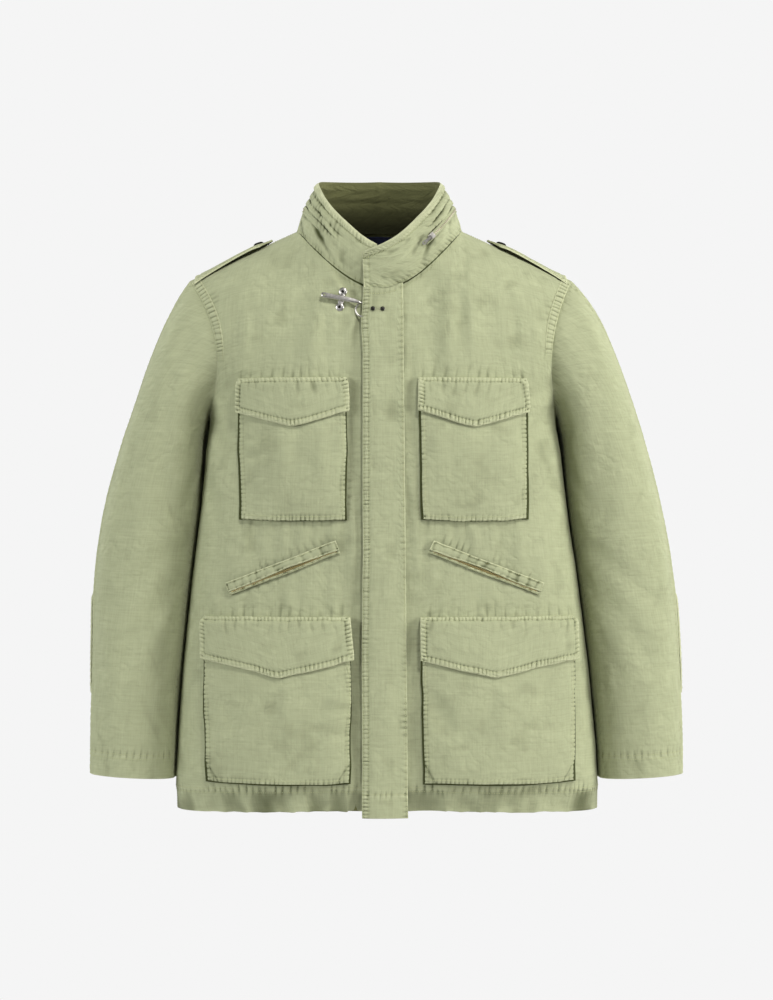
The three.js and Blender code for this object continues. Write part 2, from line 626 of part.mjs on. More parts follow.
// Top of the shoulder at (x, y), and the strap that lies on it from the armhole to its point.
function shoulderZ(x, y) {
  const side = y < 0 ? "front" : "back";
  let [low, high] = [ridge(x) - SHOULDER_ROUND, ridge(x)];
  for (let i = 0; i < 24; i++) {
    const middle = (low + high) / 2;
    if (bodyDepth(side, x, middle) > Math.abs(y)) low = middle;
    else high = middle;
  }
  return low;
}
function strapPoint(hand, x, across, out) {
  const span = (STRAP.outer - x) / (STRAP.outer - STRAP.tip);
  const bow = smooth(span * 1.3) - 0.7 * smooth((span - 0.72) / 0.28);
  const lift = lerp(STRAP.lowLift, STRAP.highLift, bow);
  const toTip = clamp((x - STRAP.tip) / STRAP.point, 0, 1);
  const y = across * lerp(2.5, STRAP.half, toTip);
  const z = shoulderZ(x, 0.9 * y) + lift + out;
  return V(hand * x + lean(z), y, z);
}
function shoulderStrap(hand) {
  const lengths = [...steps(7).map((t) => lerp(STRAP.outer, STRAP.tip + STRAP.point, t)), STRAP.tip];
  const face = (out) =>
    lengths.map((x) =>
      [-1, -0.6, -0.2, 0.2, 0.6, 1].map((across) => strapPoint(hand, x, across, out)),
    );
  return sheetGeometry(face(DOUBLE_WALL), face(0));
}

function elbowPatch(hand) {
  const p = ELBOW_PATCH;
  const across = [-1, -0.75, -0.45, -0.15, 0.15, 0.45, 0.75, 1];
  const down = [-1, -0.7, -0.35, 0, 0.35, 0.7, 1];
  const face = (out) =>
    down.map((v) =>
      across.map((u) => {
        // Squares the circle, so the patch is an oval with full shoulders.
        const ring = p.ring + p.halfRings * v * Math.sqrt(1 - 0.32 * u * u);
        const angle = p.angle + p.halfAngle * u * Math.sqrt(1 - 0.32 * v * v);
        return sleevePoint(hand, ring, angle).addScaledVector(sleeveNormal(hand, ring, angle), out);
      }),
    );
  return sheetGeometry(face(1.6 * LIE_GAP + 1.2), face(1.6 * LIE_GAP));
}

// The tape and teeth of the collar's zip, round the back from side to side.
function collarZip() {
  const behind = COLLAR_TURNS.filter((angle) => angle >= COLLAR_ZIP_FROM);
  const turns = [...behind, 180, ...behind.toReversed().map((angle) => -angle)];
  const face = (out) =>
    [-0.045, 0.045].map((off) =>
      turns.map((angle) => {
        const lap = angle > 0 ? lapAt(angle) : 0;
        const point = collarPoint(angle, COLLAR_ZIP_LEVEL + off, lap);
        return point.addScaledVector(V(Math.sin(rad(angle)), -Math.cos(rad(angle)), 0), out);
      }),
    );
  return sheetGeometry(face(LIE_GAP + 1), face(LIE_GAP));
}

// A closed solid through rings of points, with flat ends.
function throughRings(rings) {
  const count = rings[0].length;
  const points = rings.flat();
  const index = [];
  for (let i = 0; i < rings.length - 1; i++) {
    for (let j = 0; j < count; j++) {
      const a = i * count + j;
      const b = i * count + ((j + 1) % count);
      index.push(a, b, b + count, a, b + count, a + count);
    }
  }
  const end = (rings.length - 1) * count;
  for (let j = 1; j < count - 1; j++) {
    index.push(0, j + 1, j, end, end + j, end + j + 1);
  }
  return facingOut(points, index);
}

function solidOf(geometry) {
  const plain = geometry.clone();
  plain.deleteAttribute("normal");
  plain.deleteAttribute("uv");
  const merged = mergeVertices(plain, 1e-4);
  return new wasm.Manifold(
    new wasm.Mesh({
      numProp: 3,
      vertProperties: new Float32Array(merged.attributes.position.array),
      triVerts: new Uint32Array(merged.index.array),
    }),
  );
}
function geometryOf(solid) {
  const mesh = solid.getMesh();
  return new THREE.BufferGeometry()
    .setAttribute("position", new THREE.BufferAttribute(new Float32Array(mesh.vertProperties), 3))
    .setIndex(new THREE.BufferAttribute(new Uint32Array(mesh.triVerts), 1));
}
const joined = (...parts) => geometryOf(parts.map(solidOf).reduce((sum, part) => sum.add(part)));
const cut = (part, ...tools) =>
  geometryOf(tools.map(solidOf).reduce((left, tool) => left.subtract(tool), solidOf(part)));

// A round bar along "axis" through a place.
function bar(radius, length, axis, x, y, z, sides) {
  const geometry = new THREE.CylinderGeometry(radius, radius, length, sides);
  if (axis === "x") geometry.rotateZ(Math.PI / 2);
  if (axis === "z") geometry.rotateX(Math.PI / 2);
  return geometry.translate(x, y, z);
}

// A place on a surface: x runs along "along", z out of the surface.
function frameAt(point, normal, along) {
  const z = normal.clone().normalize();
  const x = along.clone().addScaledVector(z, -along.dot(z)).normalize();
  const frame = new THREE.Group();
  frame.position.copy(point);
  frame.quaternion.setFromRotationMatrix(new THREE.Matrix4().makeBasis(x, z.clone().cross(x), z));
  return frame;
}

// Neck clasp: a plate sewn to the right front, a lever on it, and the ring that the lever holds.
const CLASP = { x: -50, z: -94.5, tilt: 12, ringX: -23, ringZ: -108 };
const LEVER_SECTIONS = [
  // along the lever, its height over the cloth, and half its width and thickness
  { along: -26, up: 5.2, wide: 2.4, thick: 1.6 },
  { along: -24, up: 5.4, wide: 3.6, thick: 2.1 },
  { along: -18, up: 5.8, wide: 3.6, thick: 2 },
  { along: -10, up: 6.2, wide: 3, thick: 1.7 },
  { along: 0, up: 6.6, wide: 3.4, thick: 1.8 },
  { along: 10, up: 6.6, wide: 3.2, thick: 1.7 },
  { along: 18, up: 6, wide: 2.6, thick: 1.5 },
  { along: 23, up: 4.9, wide: 1.7, thick: 1.2 },
  { along: 25, up: 4.2, wide: 0.9, thick: 0.7 },
];
function claspLever() {
  const rings = LEVER_SECTIONS.map((s) =>
    steps(10).slice(1).map((t) => {
      const turn = 2 * Math.PI * t;
      return V(s.along, s.wide * Math.cos(turn), s.up + s.thick * Math.sin(turn));
    }),
  );
  return cut(throughRings(rings), bar(1.5, 12, "z", -22, 0, 5, 10));
}
function claspPlate() {
  const shape = new THREE.Shape();
  const half = 15.5;
  const lobe = 5.4;
  const waist = 3.4;
  shape.absarc(0, half - lobe, lobe, rad(-30), rad(210));
  shape.lineTo(-waist, 0);
  shape.absarc(0, lobe - half, lobe, rad(150), rad(390));
  shape.lineTo(waist, 0);
  for (const side of [-1, 1]) {
    const hole = new THREE.Path();
    hole.absarc(0, side * (half - lobe), 1.6, 0, 2 * Math.PI, true);
    shape.holes.push(hole);
  }
  const plate = new THREE.ExtrudeGeometry(shape, { depth: 1.6, bevelEnabled: false, curveSegments: 8 });
  plate.translate(0, 0, 0.6);
  const saddle = new THREE.BoxGeometry(7, 8.5, 2.2).translate(0, 0, 3);
  return joined(plate, saddle);
}
const claspRing = () => new THREE.TorusGeometry(9.3, 1.1, 8, 20).translate(0, 0, 2);
const domedStud = (radius, height) =>
  new THREE.LatheGeometry(
    [
      new THREE.Vector2(0, 0),
      new THREE.Vector2(radius, 0),
      new THREE.Vector2(radius, height * 0.45),
      new THREE.Vector2(radius * 0.72, height * 0.85),
      new THREE.Vector2(0, height),
    ],
    12,
  ).rotateX(Math.PI / 2);

// Slider of the collar's zip: a body on the teeth with two lugs, and a pull on the pin between them.
const PIN_UP = 5.6; // pin's height over the zip
function zipSlider() {
  const body = new THREE.BoxGeometry(9, 7, 3).translate(0, 0, 1.8);
  const lug = (side) => new THREE.BoxGeometry(3, 1, 4.2).translate(-2, side * 2.4, 4.6);
  return joined(body, lug(-1), lug(1), bar(0.6, 5.2, "y", -2, 0, PIN_UP, 10));
}
const PULL = { length: 15, droop: 14 }; // its drop below the slider's own line, in degrees
function zipPull() {
  const shape = new THREE.Shape();
  const half = 1.9;
  shape.moveTo(-half, half * 0.6);
  shape.lineTo(-PULL.length + 3, 2.6);
  shape.absarc(-PULL.length + 2.6, 0, 2.6, rad(90), rad(270));
  shape.lineTo(-half, -half * 0.6);
  const hole = new THREE.Path();
  hole.absarc(-PULL.length + 3, 0, 1.2, 0, 2 * Math.PI, true);
  shape.holes.push(hole);
  const tab = new THREE.ExtrudeGeometry(shape, { depth: 1.2, bevelEnabled: false, curveSegments: 6 });
  const eye = cut(bar(1.8, 3.4, "y", 0, 0, 0, 12), bar(1, 6, "y", 0, 0, 0, 12));
  const tongue = new THREE.BoxGeometry(2.6, 2.8, 1.2).translate(-2.6, 0, 0);
  return joined(tab.translate(-0.6, 0, -0.6), tongue, eye);
}

const jacket = new THREE.Group();
const CLOTH = { color: 0xa8ae85, roughness: 0.92, metalness: 0 };
const STEEL = { color: 0x8d8b86, roughness: 0.32, metalness: 1 };
const DARK_STEEL = { color: 0x2b2a27, roughness: 0.4, metalness: 0.9 };
const BRASS = { color: 0x9c8350, roughness: 0.35, metalness: 1 };
const TAPE = { color: 0x8f9468, roughness: 0.85, metalness: 0 };
const NAVY = { color: 0x15182a, roughness: 0.8, metalness: 0 };

function add(name, geometry, look, frame = jacket) {
  const mesh = new THREE.Mesh(geometry, new THREE.MeshStandardMaterial(look));
  mesh.name = name;
  frame.add(mesh);
  return mesh;
}

add("back", backPanel(), CLOTH);
add("collar", collar(), CLOTH);
add("collar_zip", collarZip(), TAPE);
add("fly", fly(), CLOTH);
add("front_zip", frontZip(), TAPE);
add("label", label(), NAVY);

for (const [hand, word] of [
  [1, "left"],
  [-1, "right"],
]) {
  add(`front_${word}`, frontPanel(hand), CLOTH);
  add(`top_sleeve_${word}`, sleevePiece(hand, FRONT_SLEEVE_SEAM, BACK_SLEEVE_SEAM), CLOTH);
  add(
    `under_sleeve_${word}`,
    sleevePiece(hand, BACK_SLEEVE_SEAM, FRONT_SLEEVE_SEAM + 360),
    CLOTH,
  );
  add(`elbow_patch_${word}`, elbowPatch(hand), CLOTH);
  add(`chest_pocket_${word}`, pocketBag(hand, CHEST_POCKET), CLOTH);
  add(`chest_flap_${word}`, pocketFlap(hand, CHEST_POCKET), CLOTH);
  const lower = hand > 0 ? LOWER_POCKET : RIGHT_LOWER_POCKET;
  add(`lower_pocket_${word}`, pocketBag(hand, lower), CLOTH);
  add(`lower_flap_${word}`, pocketFlap(hand, lower), CLOTH);
  add(`slant_welt_${word}`, slantWelt(hand), CLOTH);
  add(`slant_lip_${word}`, slantLip(hand), CLOTH);
  add(`slant_zip_${word}`, slantZip(hand), BRASS);
  add(`shoulder_strap_${word}`, shoulderStrap(hand), CLOTH);

  const buttonX = STRAP.tip + 18.6;
  const buttonTop = strapPoint(hand, buttonX, 0, DOUBLE_WALL);
  const outwards = strapPoint(hand, buttonX + 5, 0, DOUBLE_WALL).sub(buttonTop);
  const up = V(0, hand, 0).cross(outwards).negate();
  const seat = frameAt(buttonTop, up, outwards);
  jacket.add(seat);
  add(`strap_button_${word}`, domedStud(6.5, 2.6).translate(0, 0, SEAM_GAP), DARK_STEEL, seat);
}

const claspPoint = bodyPoint("front", CLASP.x, CLASP.z);
const claspOut = bodyNormal("front", CLASP.x, CLASP.z);
const clasp = frameAt(claspPoint, claspOut, V(Math.cos(rad(CLASP.tilt)), 0, -Math.sin(rad(CLASP.tilt))));
jacket.add(clasp);
add("clasp_plate", claspPlate(), STEEL, clasp);
add("clasp_lever", claspLever(), STEEL, clasp);

const ringSeat = frameAt(
  bodyPoint("front", CLASP.ringX, CLASP.ringZ),
  bodyNormal("front", CLASP.ringX, CLASP.ringZ),
  V(1, 0, 0),
);
jacket.add(ringSeat);
add("clasp_ring", claspRing(), STEEL, ringSeat);

for (const [x, word] of [
  [-10.2, "outer"],
  [2, "inner"],
]) {
  const share = (x - FLY.left) / (FLY.topRight - FLY.left);
  const out = flyGap(share) + DOUBLE_WALL + SEAM_GAP;
  const seat = frameAt(bodyOffset("front", x, -108, out), bodyNormal("front", x, -108), V(1, 0, 0));
  jacket.add(seat);
  add(`ring_rivet_${word}`, domedStud(2.9, 1.6), DARK_STEEL, seat);
}

const sliderTurn = COLLAR_ZIP_FROM + 4.5;
const onZip = (turn, up) => collarPoint(turn, COLLAR_ZIP_LEVEL + up, lapAt(turn));
const zipRun = onZip(sliderTurn + 3, 0).sub(onZip(sliderTurn - 3, 0));
const zipUp = onZip(sliderTurn, 0.05).sub(onZip(sliderTurn, -0.05));
const zipOut = zipRun.clone().cross(zipUp).normalize();
const slider = frameAt(onZip(sliderTurn, 0).addScaledVector(zipOut, 2.3), zipOut, zipRun);
jacket.add(slider);
add("zip_slider", zipSlider(), STEEL, slider);
const pull = add("zip_pull", zipPull(), STEEL, slider);
pull.position.set(-2, 0, PIN_UP);
pull.rotation.y = -rad(PULL.droop);

export default jacket;
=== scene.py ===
# A field jacket of washed cotton and linen cloth, filled out as if worn. Lengths here are in
# millimetres, as a maker would mark them, and a piece is made in metres from them.
# +Z is up, the front faces -Y, and +X is the wearer's left.
import math

import bpy
import mathutils
import numpy as np
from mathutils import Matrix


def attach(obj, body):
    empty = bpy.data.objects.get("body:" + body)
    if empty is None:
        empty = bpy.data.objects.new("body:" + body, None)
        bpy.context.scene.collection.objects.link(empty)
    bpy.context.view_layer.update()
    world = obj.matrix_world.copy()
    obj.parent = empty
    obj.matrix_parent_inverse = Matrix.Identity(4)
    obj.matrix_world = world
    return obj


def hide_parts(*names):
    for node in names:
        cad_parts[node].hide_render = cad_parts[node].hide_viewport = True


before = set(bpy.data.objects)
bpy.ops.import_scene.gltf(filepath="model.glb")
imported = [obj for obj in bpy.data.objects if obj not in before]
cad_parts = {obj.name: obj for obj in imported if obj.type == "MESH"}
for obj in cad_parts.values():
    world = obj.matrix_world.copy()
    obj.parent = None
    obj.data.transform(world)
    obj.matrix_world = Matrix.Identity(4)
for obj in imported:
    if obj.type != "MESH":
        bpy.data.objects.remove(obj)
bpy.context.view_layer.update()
bpy.ops.object.select_all(action="DESELECT")

MM = 0.001
WALL = 1.5
DOUBLE_WALL = 2.0
LIE_GAP = 0.9
HEM_Z = -746
HEM_RISE = 6
HEM_DEEP = 30  # from the hem's edge to its stitches
ARMPIT_Z = -238
LEAN = 10
NECK_HALF = 107
NECK_DROP = 80
NECK_BACK_RISE = 6
SHOULDER_X = 248
SHOULDER_SLOPE = 0.454
SHOULDER_ROUND = 90
SECTION_POWER = 2.6
FRONT_EDGE_X = 3
SEAM_GAP = 0.3

# Height, half the width, and how far the front and the back stand off the middle.
BODY_SECTIONS = [
    (-760, 274, 127, 117),
    (-690, 272.3, 125, 114),
    (-585, 264.6, 121, 108),
    (-465, 251.4, 117, 104),
    (-360, 237.4, 118, 112),
    (-290, 230, 118, 118),
    (-238, 225, 115, 122),
    (-150, 246, 104, 121),
    (-100, 256, 92, 113),
    (-60, 262, 82, 100),
    (0, 268, 72, 80),
    (40, 270, 68, 74),
]
# Left and right outer point, its height, the inner point's height and clearance, depth, middle.
SLEEVE_RINGS = [
    (248, 248, -64, -238, 0, 68, 0),
    (276.5, 270.5, -97, -254, 3.5, 71, 1),
    (302.5, 297.5, -158, -277, 4.5, 73, 2),
    (324.5, 320.5, -220, -308, 3, 73, 3),
    (344, 343.5, -286, -345, 2, 71, 3),
    (359, 361, -348, -388, 1.6, 69, 2),
    (370, 372.5, -408, -430, 1.5, 66, 0),
    (377, 378.5, -465, -478, 1.4, 62, -3),
    (380, 380, -522, -530, 1.4, 58, -7),
    (381.5, 381, -580, -586, 1.4, 54, -11),
    (383, 383, -640, -645, 1.4, 49, -15),
    (383, 384, -701, -707, 1.4, 43, -19),
]
ARMHOLE_INSET = {"left": 18, "right": 25, "back": 14}

COLLAR_TOP = [
    (-30, -41),
    (0, -25),
    (15, -13),
    (30, 4),
    (45, 21),
    (60, 38),
    (75, 54),
    (90, 63),
    (115, 68),
    (180, 72),
]
COLLAR_TOP_HALF = 80
COLLAR_TOP_FRONT = 88
COLLAR_TOP_BACK = 62
COLLAR_WALL = 2.5
COLLAR_LAP_RISE = 4.2
COLLAR_RIDGES = [(0.6, 1.8, 0.07), (0.76, 1.6, 0.06), (0.93, 1.2, 0.05)]  # level, rise, half
COLLAR_ZIP_LEVEL = 0.46
COLLAR_ZIP_FROM = 37

CHEST_POCKET = dict(inner=45, outer=182.5, top=-194, bottom=-373, side=43, tip=64, tip_in=0.0, lift=5)
LOWER_POCKET = dict(inner=44, outer=238, top=-496, bottom=-705, side=54, tip=77, tip_in=0.03, lift=8)
RIGHT_LOWER_POCKET = {**LOWER_POCKET, "outer": 229}
FLAP_ABOVE_BAG = 7
FLAP_BESIDE_BAG = 2.5
SLANT_POCKET = dict(inner_x=58.5, inner_z=-407, outer_x=198, outer_z=-461, width=16.5)
SLANT_MOUTH = -4.6
FLY = dict(left=-20.5, top_right=30, low_right=36, bottom=-748, free_gap=4.4)
STRAP = dict(outer=241, tip=139, point=16, half=23, low_lift=0.9, high_lift=5.5)
ELBOW_PATCH = dict(ring=8.2, angle=50, half_rings=1.3, half_angle=58)

# Soft folds as (x1, z1, x2, z2, half width, rise). Below 0 it is a trough.
FRONT_FOLDS = [
    (-36, -130, -38, -360, 30, -4),
    (-38, -470, -38, -770, 26, -7),
    (42, -490, 44, -770, 26, -5),
    (-200, -225, -178, -320, 26, -5),
    (204, -225, 180, -330, 26, -5),
    (30, -735, 60, -775, 30, -4),
    (-90, -735, -84, -775, 20, -4),
    (-196, -730, -200, -775, 20, -4),
    (196, -730, 204, -775, 20, -4),
    (112, -60, 116, -180, 24, 2.5),
    (58, -80, 62, -190, 18, -3),
    (86, -70, 90, -190, 14, 1.8),
    (148, -80, 160, -190, 20, -3),
    (188, -130, 186, -200, 16, 2),
    (-112, -60, -196, -225, 36, -3.5),
    (-66, -130, -100, -185, 26, 2.5),
    (-160, -70, -215, -160, 24, 2.5),
    (70, -392, 74, -486, 16, -2.2),
    (-74, -388, -84, -486, 18, -2.2),
    (190, -400, 205, -490, 20, 2.5),
    (-185, -400, -205, -490, 20, 2.5),
    (150, -720, 160, -770, 34, 4),
    (-150, -720, -158, -770, 34, 3),
    (-120, -390, -135, -490, 40, -2.5),
    (110, -395, 150, -490, 40, -3),
]
BACK_FOLDS = [
    (-60, -420, -80, -770, 38, 6),
    (70, -440, 95, -770, 38, 6),
    (0, -500, 5, -770, 36, -5),
    (-190, -240, -110, -330, 38, -5),
    (190, -240, 110, -330, 38, -5),
    (-185, -520, -195, -770, 36, 4),
    (185, -520, 195, -770, 36, 4),
]
SLEEVE_FOLDS = [  # ring and angle of both ends
    (1.2, -70, 4.5, -105, 18, -4),
    (2, -30, 6.5, -50, 16, 3),
    (5.8, -125, 7.2, -60, 15, -4),
    (6.8, -130, 8.4, -75, 15, -4),
    (8, -60, 10.6, -80, 16, 3),
    (2, 80, 6, 100, 20, -4),
    (6.2, 130, 6.6, 80, 24, 2.5),
]

# Finer creases: where one starts and ends, half its width, how far it rises, and
# how far its middle bows to one side. A crease is firm where it starts and dies out where it ends.
FRONT_CREASES = [
    (82, -100, 84, -205, 8, 1.0, 2),
    (97, -82, 101, -180, 8, -1.0, -2),
    (114, -88, 117, -190, 8, 1.1, 2),
    (133, -95, 134, -185, 9, -0.9, 3),
    (152, -100, 151, -180, 9, 0.8, -3),
    (171, -108, 168, -192, 9, -1.0, 2),
    (198, -130, 186, -205, 9, 1.1, -4),
    (118, -40, 113, -95, 7, 1.6, 2),
    (222, -205, 196, -262, 9, 1.8, 6),
    (224, -228, 188, -300, 10, -2.0, 8),
    (222, -262, 198, -352, 11, 1.8, 5),
    (216, -330, 204, -450, 12, -1.6, 4),
    (206, -390, 190, -480, 11, 1.3, -4),
    (38, -160, 40, -330, 6, -1.2, 2),
    (38, -340, 44, -500, 6, 1.2, -2),
    (60, -392, 66, -440, 7, 1.0, 1),
    (88, -380, 92, -428, 7, -1.1, 2),
    (110, -382, 118, -436, 8, 1.2, -2),
    (148, -380, 150, -448, 8, -1.2, 2),
    (170, -384, 178, -470, 9, 1.2, 2),
    (70, -492, 74, -440, 8, 0.9, 2),
    (112, -494, 118, -446, 8, -0.9, 2),
    (160, -494, 172, -456, 8, 1.0, 2),
    (205, -492, 226, -440, 10, -1.4, 2),
    (246, -520, 238, -700, 11, -1.6, 4),
    (252, -640, 240, -560, 9, 1.2, 4),
    (72, -752, 74, -700, 9, 1.8, 1),
    (104, -752, 102, -708, 10, -1.8, 1),
    (136, -752, 140, -700, 9, 1.3, 2),
    (190, -752, 192, -706, 10, 1.6, 2),
    (222, -752, 219, -690, 11, -1.6, 3),
    (-52, -66, -22, -122, 6, -2.4, -3),
    (-24, -112, -31, -168, 6, -2.0, 2),
    (-95, -105, -150, -185, 16, -2.2, 6),
    (-118, -92, -186, -160, 13, 1.4, 6),
    (-84, -120, -92, -196, 9, 1.0, 3),
    (-108, -140, -112, -195, 9, -1.0, 3),
    (-70, -118, -66, -200, 8, -1.1, 2),
    (-172, -120, -196, -215, 10, 1.4, -5),
    (-222, -200, -194, -258, 9, 1.8, 6),
    (-223, -232, -190, -296, 10, -2.2, 6),
    (-218, -276, -196, -372, 11, 1.8, 4),
    (-214, -344, -206, -446, 12, -1.6, 3),
    (-40, -205, -42, -345, 7, -1.6, 2),
    (-39, -350, -46, -500, 7, 1.4, -3),
    (-36, -530, -46, -690, 9, -1.6, 3),
    (-50, -752, -52, -640, 9, 1.5, 2),
    (-62, -380, -66, -432, 7, 1.1, 2),
    (-90, -384, -94, -438, 8, -1.1, 2),
    (-126, -380, -124, -436, 8, 1.2, 2),
    (-160, -382, -168, -452, 9, -1.3, 2),
    (-190, -392, -200, -474, 9, 1.3, 3),
    (-76, -494, -80, -448, 8, -1.0, 2),
    (-120, -494, -128, -440, 8, 1.1, 2),
    (-172, -494, -184, -462, 8, -1.0, 2),
    (-214, -490, -232, -436, 10, 1.4, 2),
    (-250, -530, -240, -690, 11, 1.6, 4),
    (-254, -668, -244, -560, 9, -1.3, 4),
    (-66, -752, -64, -706, 9, -1.8, 2),
    (-98, -752, -102, -704, 10, 1.6, 2),
    (-132, -752, -130, -708, 9, -1.4, 2),
    (-182, -752, -186, -700, 11, 1.7, 2),
    (-220, -752, -216, -694, 10, -1.5, 2),
]
BACK_CREASES = [
    (196, -150, 150, -232, 12, 2.0, 8),
    (204, -205, 140, -290, 13, -2.6, 10),
    (210, -252, 130, -352, 14, 2.4, 10),
    (214, -300, 150, -420, 14, -2.0, 8),
    (-196, -140, -146, -226, 12, 2.0, -8),
    (-206, -210, -146, -282, 13, -2.6, -9),
    (-210, -262, -122, -346, 14, 2.2, -10),
    (-214, -312, -162, -436, 14, -2.2, -8),
    (40, -60, 52, -180, 15, 1.8, 4),
    (-30, -66, -46, -196, 15, -1.6, 4),
    (96, -70, 92, -170, 13, -1.5, 4),
    (-88, -58, -98, -160, 13, 1.6, 4),
    (-150, -70, -140, -150, 12, -1.3, 4),
    (150, -74, 146, -148, 12, 1.4, 4),
    (20, -330, 60, -470, 16, 2.0, 8),
    (-18, -352, -70, -488, 16, -2.2, 8),
    (110, -352, 132, -470, 14, -1.8, 6),
    (-128, -366, -118, -482, 14, 1.9, 6),
    (40, -752, 44, -600, 14, -2.4, 4),
    (-34, -752, -40, -590, 14, 2.6, 4),
    (122, -752, 126, -640, 12, -2.2, 4),
    (-118, -752, -126, -628, 12, -2.0, 4),
    (156, -752, 152, -660, 11, 1.8, 4),
    (-152, -752, -148, -650, 11, 1.9, 4),
    (224, -752, 218, -640, 12, -1.8, 4),
    (-228, -752, -220, -650, 12, 1.8, 4),
    (244, -560, 226, -440, 12, 1.8, 4),
    (-246, -548, -230, -430, 12, -1.8, 4),
]
# Creases of a sleeve: ring and angle of both ends, half width, rise, bow.
SLEEVE_CREASES = {
    1: [
        (0.6, -46, 3.2, -62, 9, 2.0, 4),
        (0.8, -90, 3.6, -96, 10, -2.2, 5),
        (0.9, -128, 3.0, -112, 9, 2.0, 5),
        (0.3, -20, 2.6, -34, 10, -1.6, 4),
        (2.4, -140, 4.8, -104, 10, 2.2, 8),
        (3.3, -146, 5.4, -88, 9, -2.2, 9),
        (4.6, -142, 6.3, -84, 9, 2.1, 8),
        (4.2, -40, 7.8, -58, 12, -1.8, 6),
        (5.7, -34, 9.4, -46, 10, 1.6, 6),
        (6.4, -138, 8.0, -92, 8, 2.3, 6),
        (7.6, -140, 9.3, -98, 9, -2.0, 6),
        (8.6, -128, 10.2, -108, 8, 1.8, 5),
        (9.0, -70, 10.9, -64, 10, -1.6, 4),
        (8.2, -28, 10.9, -36, 9, 1.4, 5),
        (1.0, 60, 4.0, 76, 12, 2.2, 6),
        (1.2, 118, 3.8, 100, 12, -2.4, 6),
        (4.2, 140, 6.2, 92, 11, 2.6, 8),
        (5.4, 148, 7.2, 96, 10, -2.6, 8),
        (6.6, 30, 9.6, 24, 12, -1.6, 6),
        (8.8, 120, 10.8, 112, 10, 2.0, 4),
        (9.2, 60, 10.9, 66, 10, -1.6, 4),
    ],
    -1: [
        (0.5, -52, 3.4, -70, 10, 2.0, 5),
        (0.9, -96, 3.2, -100, 9, -2.2, 4),
        (1.0, -132, 3.4, -116, 9, 2.2, 5),
        (0.4, -24, 3.0, -40, 10, -1.5, 5),
        (2.6, -142, 5.2, -98, 10, 2.1, 8),
        (3.6, -148, 5.8, -92, 9, -2.4, 8),
        (5.0, -144, 6.8, -90, 9, 2.2, 8),
        (3.8, -46, 7.4, -66, 12, -1.9, 6),
        (5.2, -30, 9.0, -42, 10, 1.7, 6),
        (6.9, -140, 8.6, -90, 8, 2.2, 6),
        (7.9, -138, 9.6, -104, 9, -2.2, 6),
        (8.9, -124, 10.4, -110, 8, 1.7, 5),
        (9.1, -76, 10.9, -72, 10, -1.5, 4),
        (8.0, -24, 10.8, -30, 9, 1.5, 5),
        (1.0, 66, 4.2, 80, 12, 2.3, 6),
        (1.4, 122, 4.0, 104, 12, -2.2, 6),
        (4.4, 142, 6.4, 98, 11, 2.6, 8),
        (5.6, 146, 7.6, 92, 10, -2.4, 8),
        (6.4, 34, 9.4, 28, 12, -1.7, 6),
        (8.7, 116, 10.8, 108, 10, 2.1, 4),
        (9.3, 64, 10.9, 70, 10, -1.5, 4),
    ],
}
RING_SPAN = 60
ANGLE_SPAN = 1.1
GATHER_DEPTH = 1.5


def smooth(t):
    t = np.clip(t, 0, 1)
    return t * t * (3 - 2 * t)


def lerp(a, b, t):
    return a + (b - a) * t


def unit(v):
    return v / np.maximum(np.linalg.norm(v, axis=-1, keepdims=True), 1e-9)


def xyz(x, y, z):
    return np.stack(np.broadcast_arrays(x, y, z), axis=-1).astype(float)


def column(table, at):
    """The columns of a table at these places, along smooth curves through its rows."""
    rows = np.asarray(table, float)
    keys, values = rows[:, 0], rows[:, 1:]
    slopes = np.empty_like(values)
    slopes[1:-1] = (values[2:] - values[:-2]) / (keys[2:] - keys[:-2])[:, None]
    slopes[0] = (values[1] - values[0]) / (keys[1] - keys[0])
    slopes[-1] = (values[-1] - values[-2]) / (keys[-1] - keys[-2])
    at = np.asarray(at, float)
    i = np.clip(np.searchsorted(keys, at, side="right") - 1, 0, len(keys) - 2)
    span = (keys[i + 1] - keys[i])[..., None]
    t = np.clip((at - keys[i])[..., None] / span, 0, 1)
    rest = 1 - t
    value = (
        values[i] * (1 + 2 * t) * rest * rest
        + values[i + 1] * t * t * (3 - 2 * t)
        + slopes[i] * span * t * rest * rest
        - slopes[i + 1] * span * t * t * rest
    )
    return np.moveaxis(value, -1, 0)


def uneven(a, b, size, seed):
    """Soft noise from -1 to 1 over a piece of cloth, in patches of this size."""
    a, b = np.broadcast_arrays(np.asarray(a, float) / size, np.asarray(b, float) / size)
    i, j = np.floor(a).astype(np.int64), np.floor(b).astype(np.int64)
    s, t = smooth(a - i), smooth(b - j)

    def corner(p, q):
        n = (p * 374761393 + q * 668265263 + seed * 97531) & 0xFFFFFFFF
        n = ((n ^ (n >> 13)) * 1274126177) & 0xFFFFFFFF
        return ((n ^ (n >> 16)) & 0xFFFF) / 32767.5 - 1

    low = lerp(corner(i, j), corner(i + 1, j), s)
    high = lerp(corner(i, j + 1), corner(i + 1, j + 1), s)
    return lerp(low, high, t)


def folds_at(folds, a, b):
    """How far the soft folds move the cloth at the places (a, b)."""
    rise = 0.0
    for a1, b1, a2, b2, half, height in folds:
        da, db = a2 - a1, b2 - b1
        along = ((a - a1) * da + (b - b1) * db) / (da * da + db * db)
        off = np.hypot(a - a1 - along * da, b - b1 - along * db) / half
        past = np.maximum(0, np.maximum(-along, along - 1))
        overrun = past * math.hypot(da, db) / (1.5 * half)
        rise = rise + height * np.exp(-off * off - overrun * overrun)
    return rise


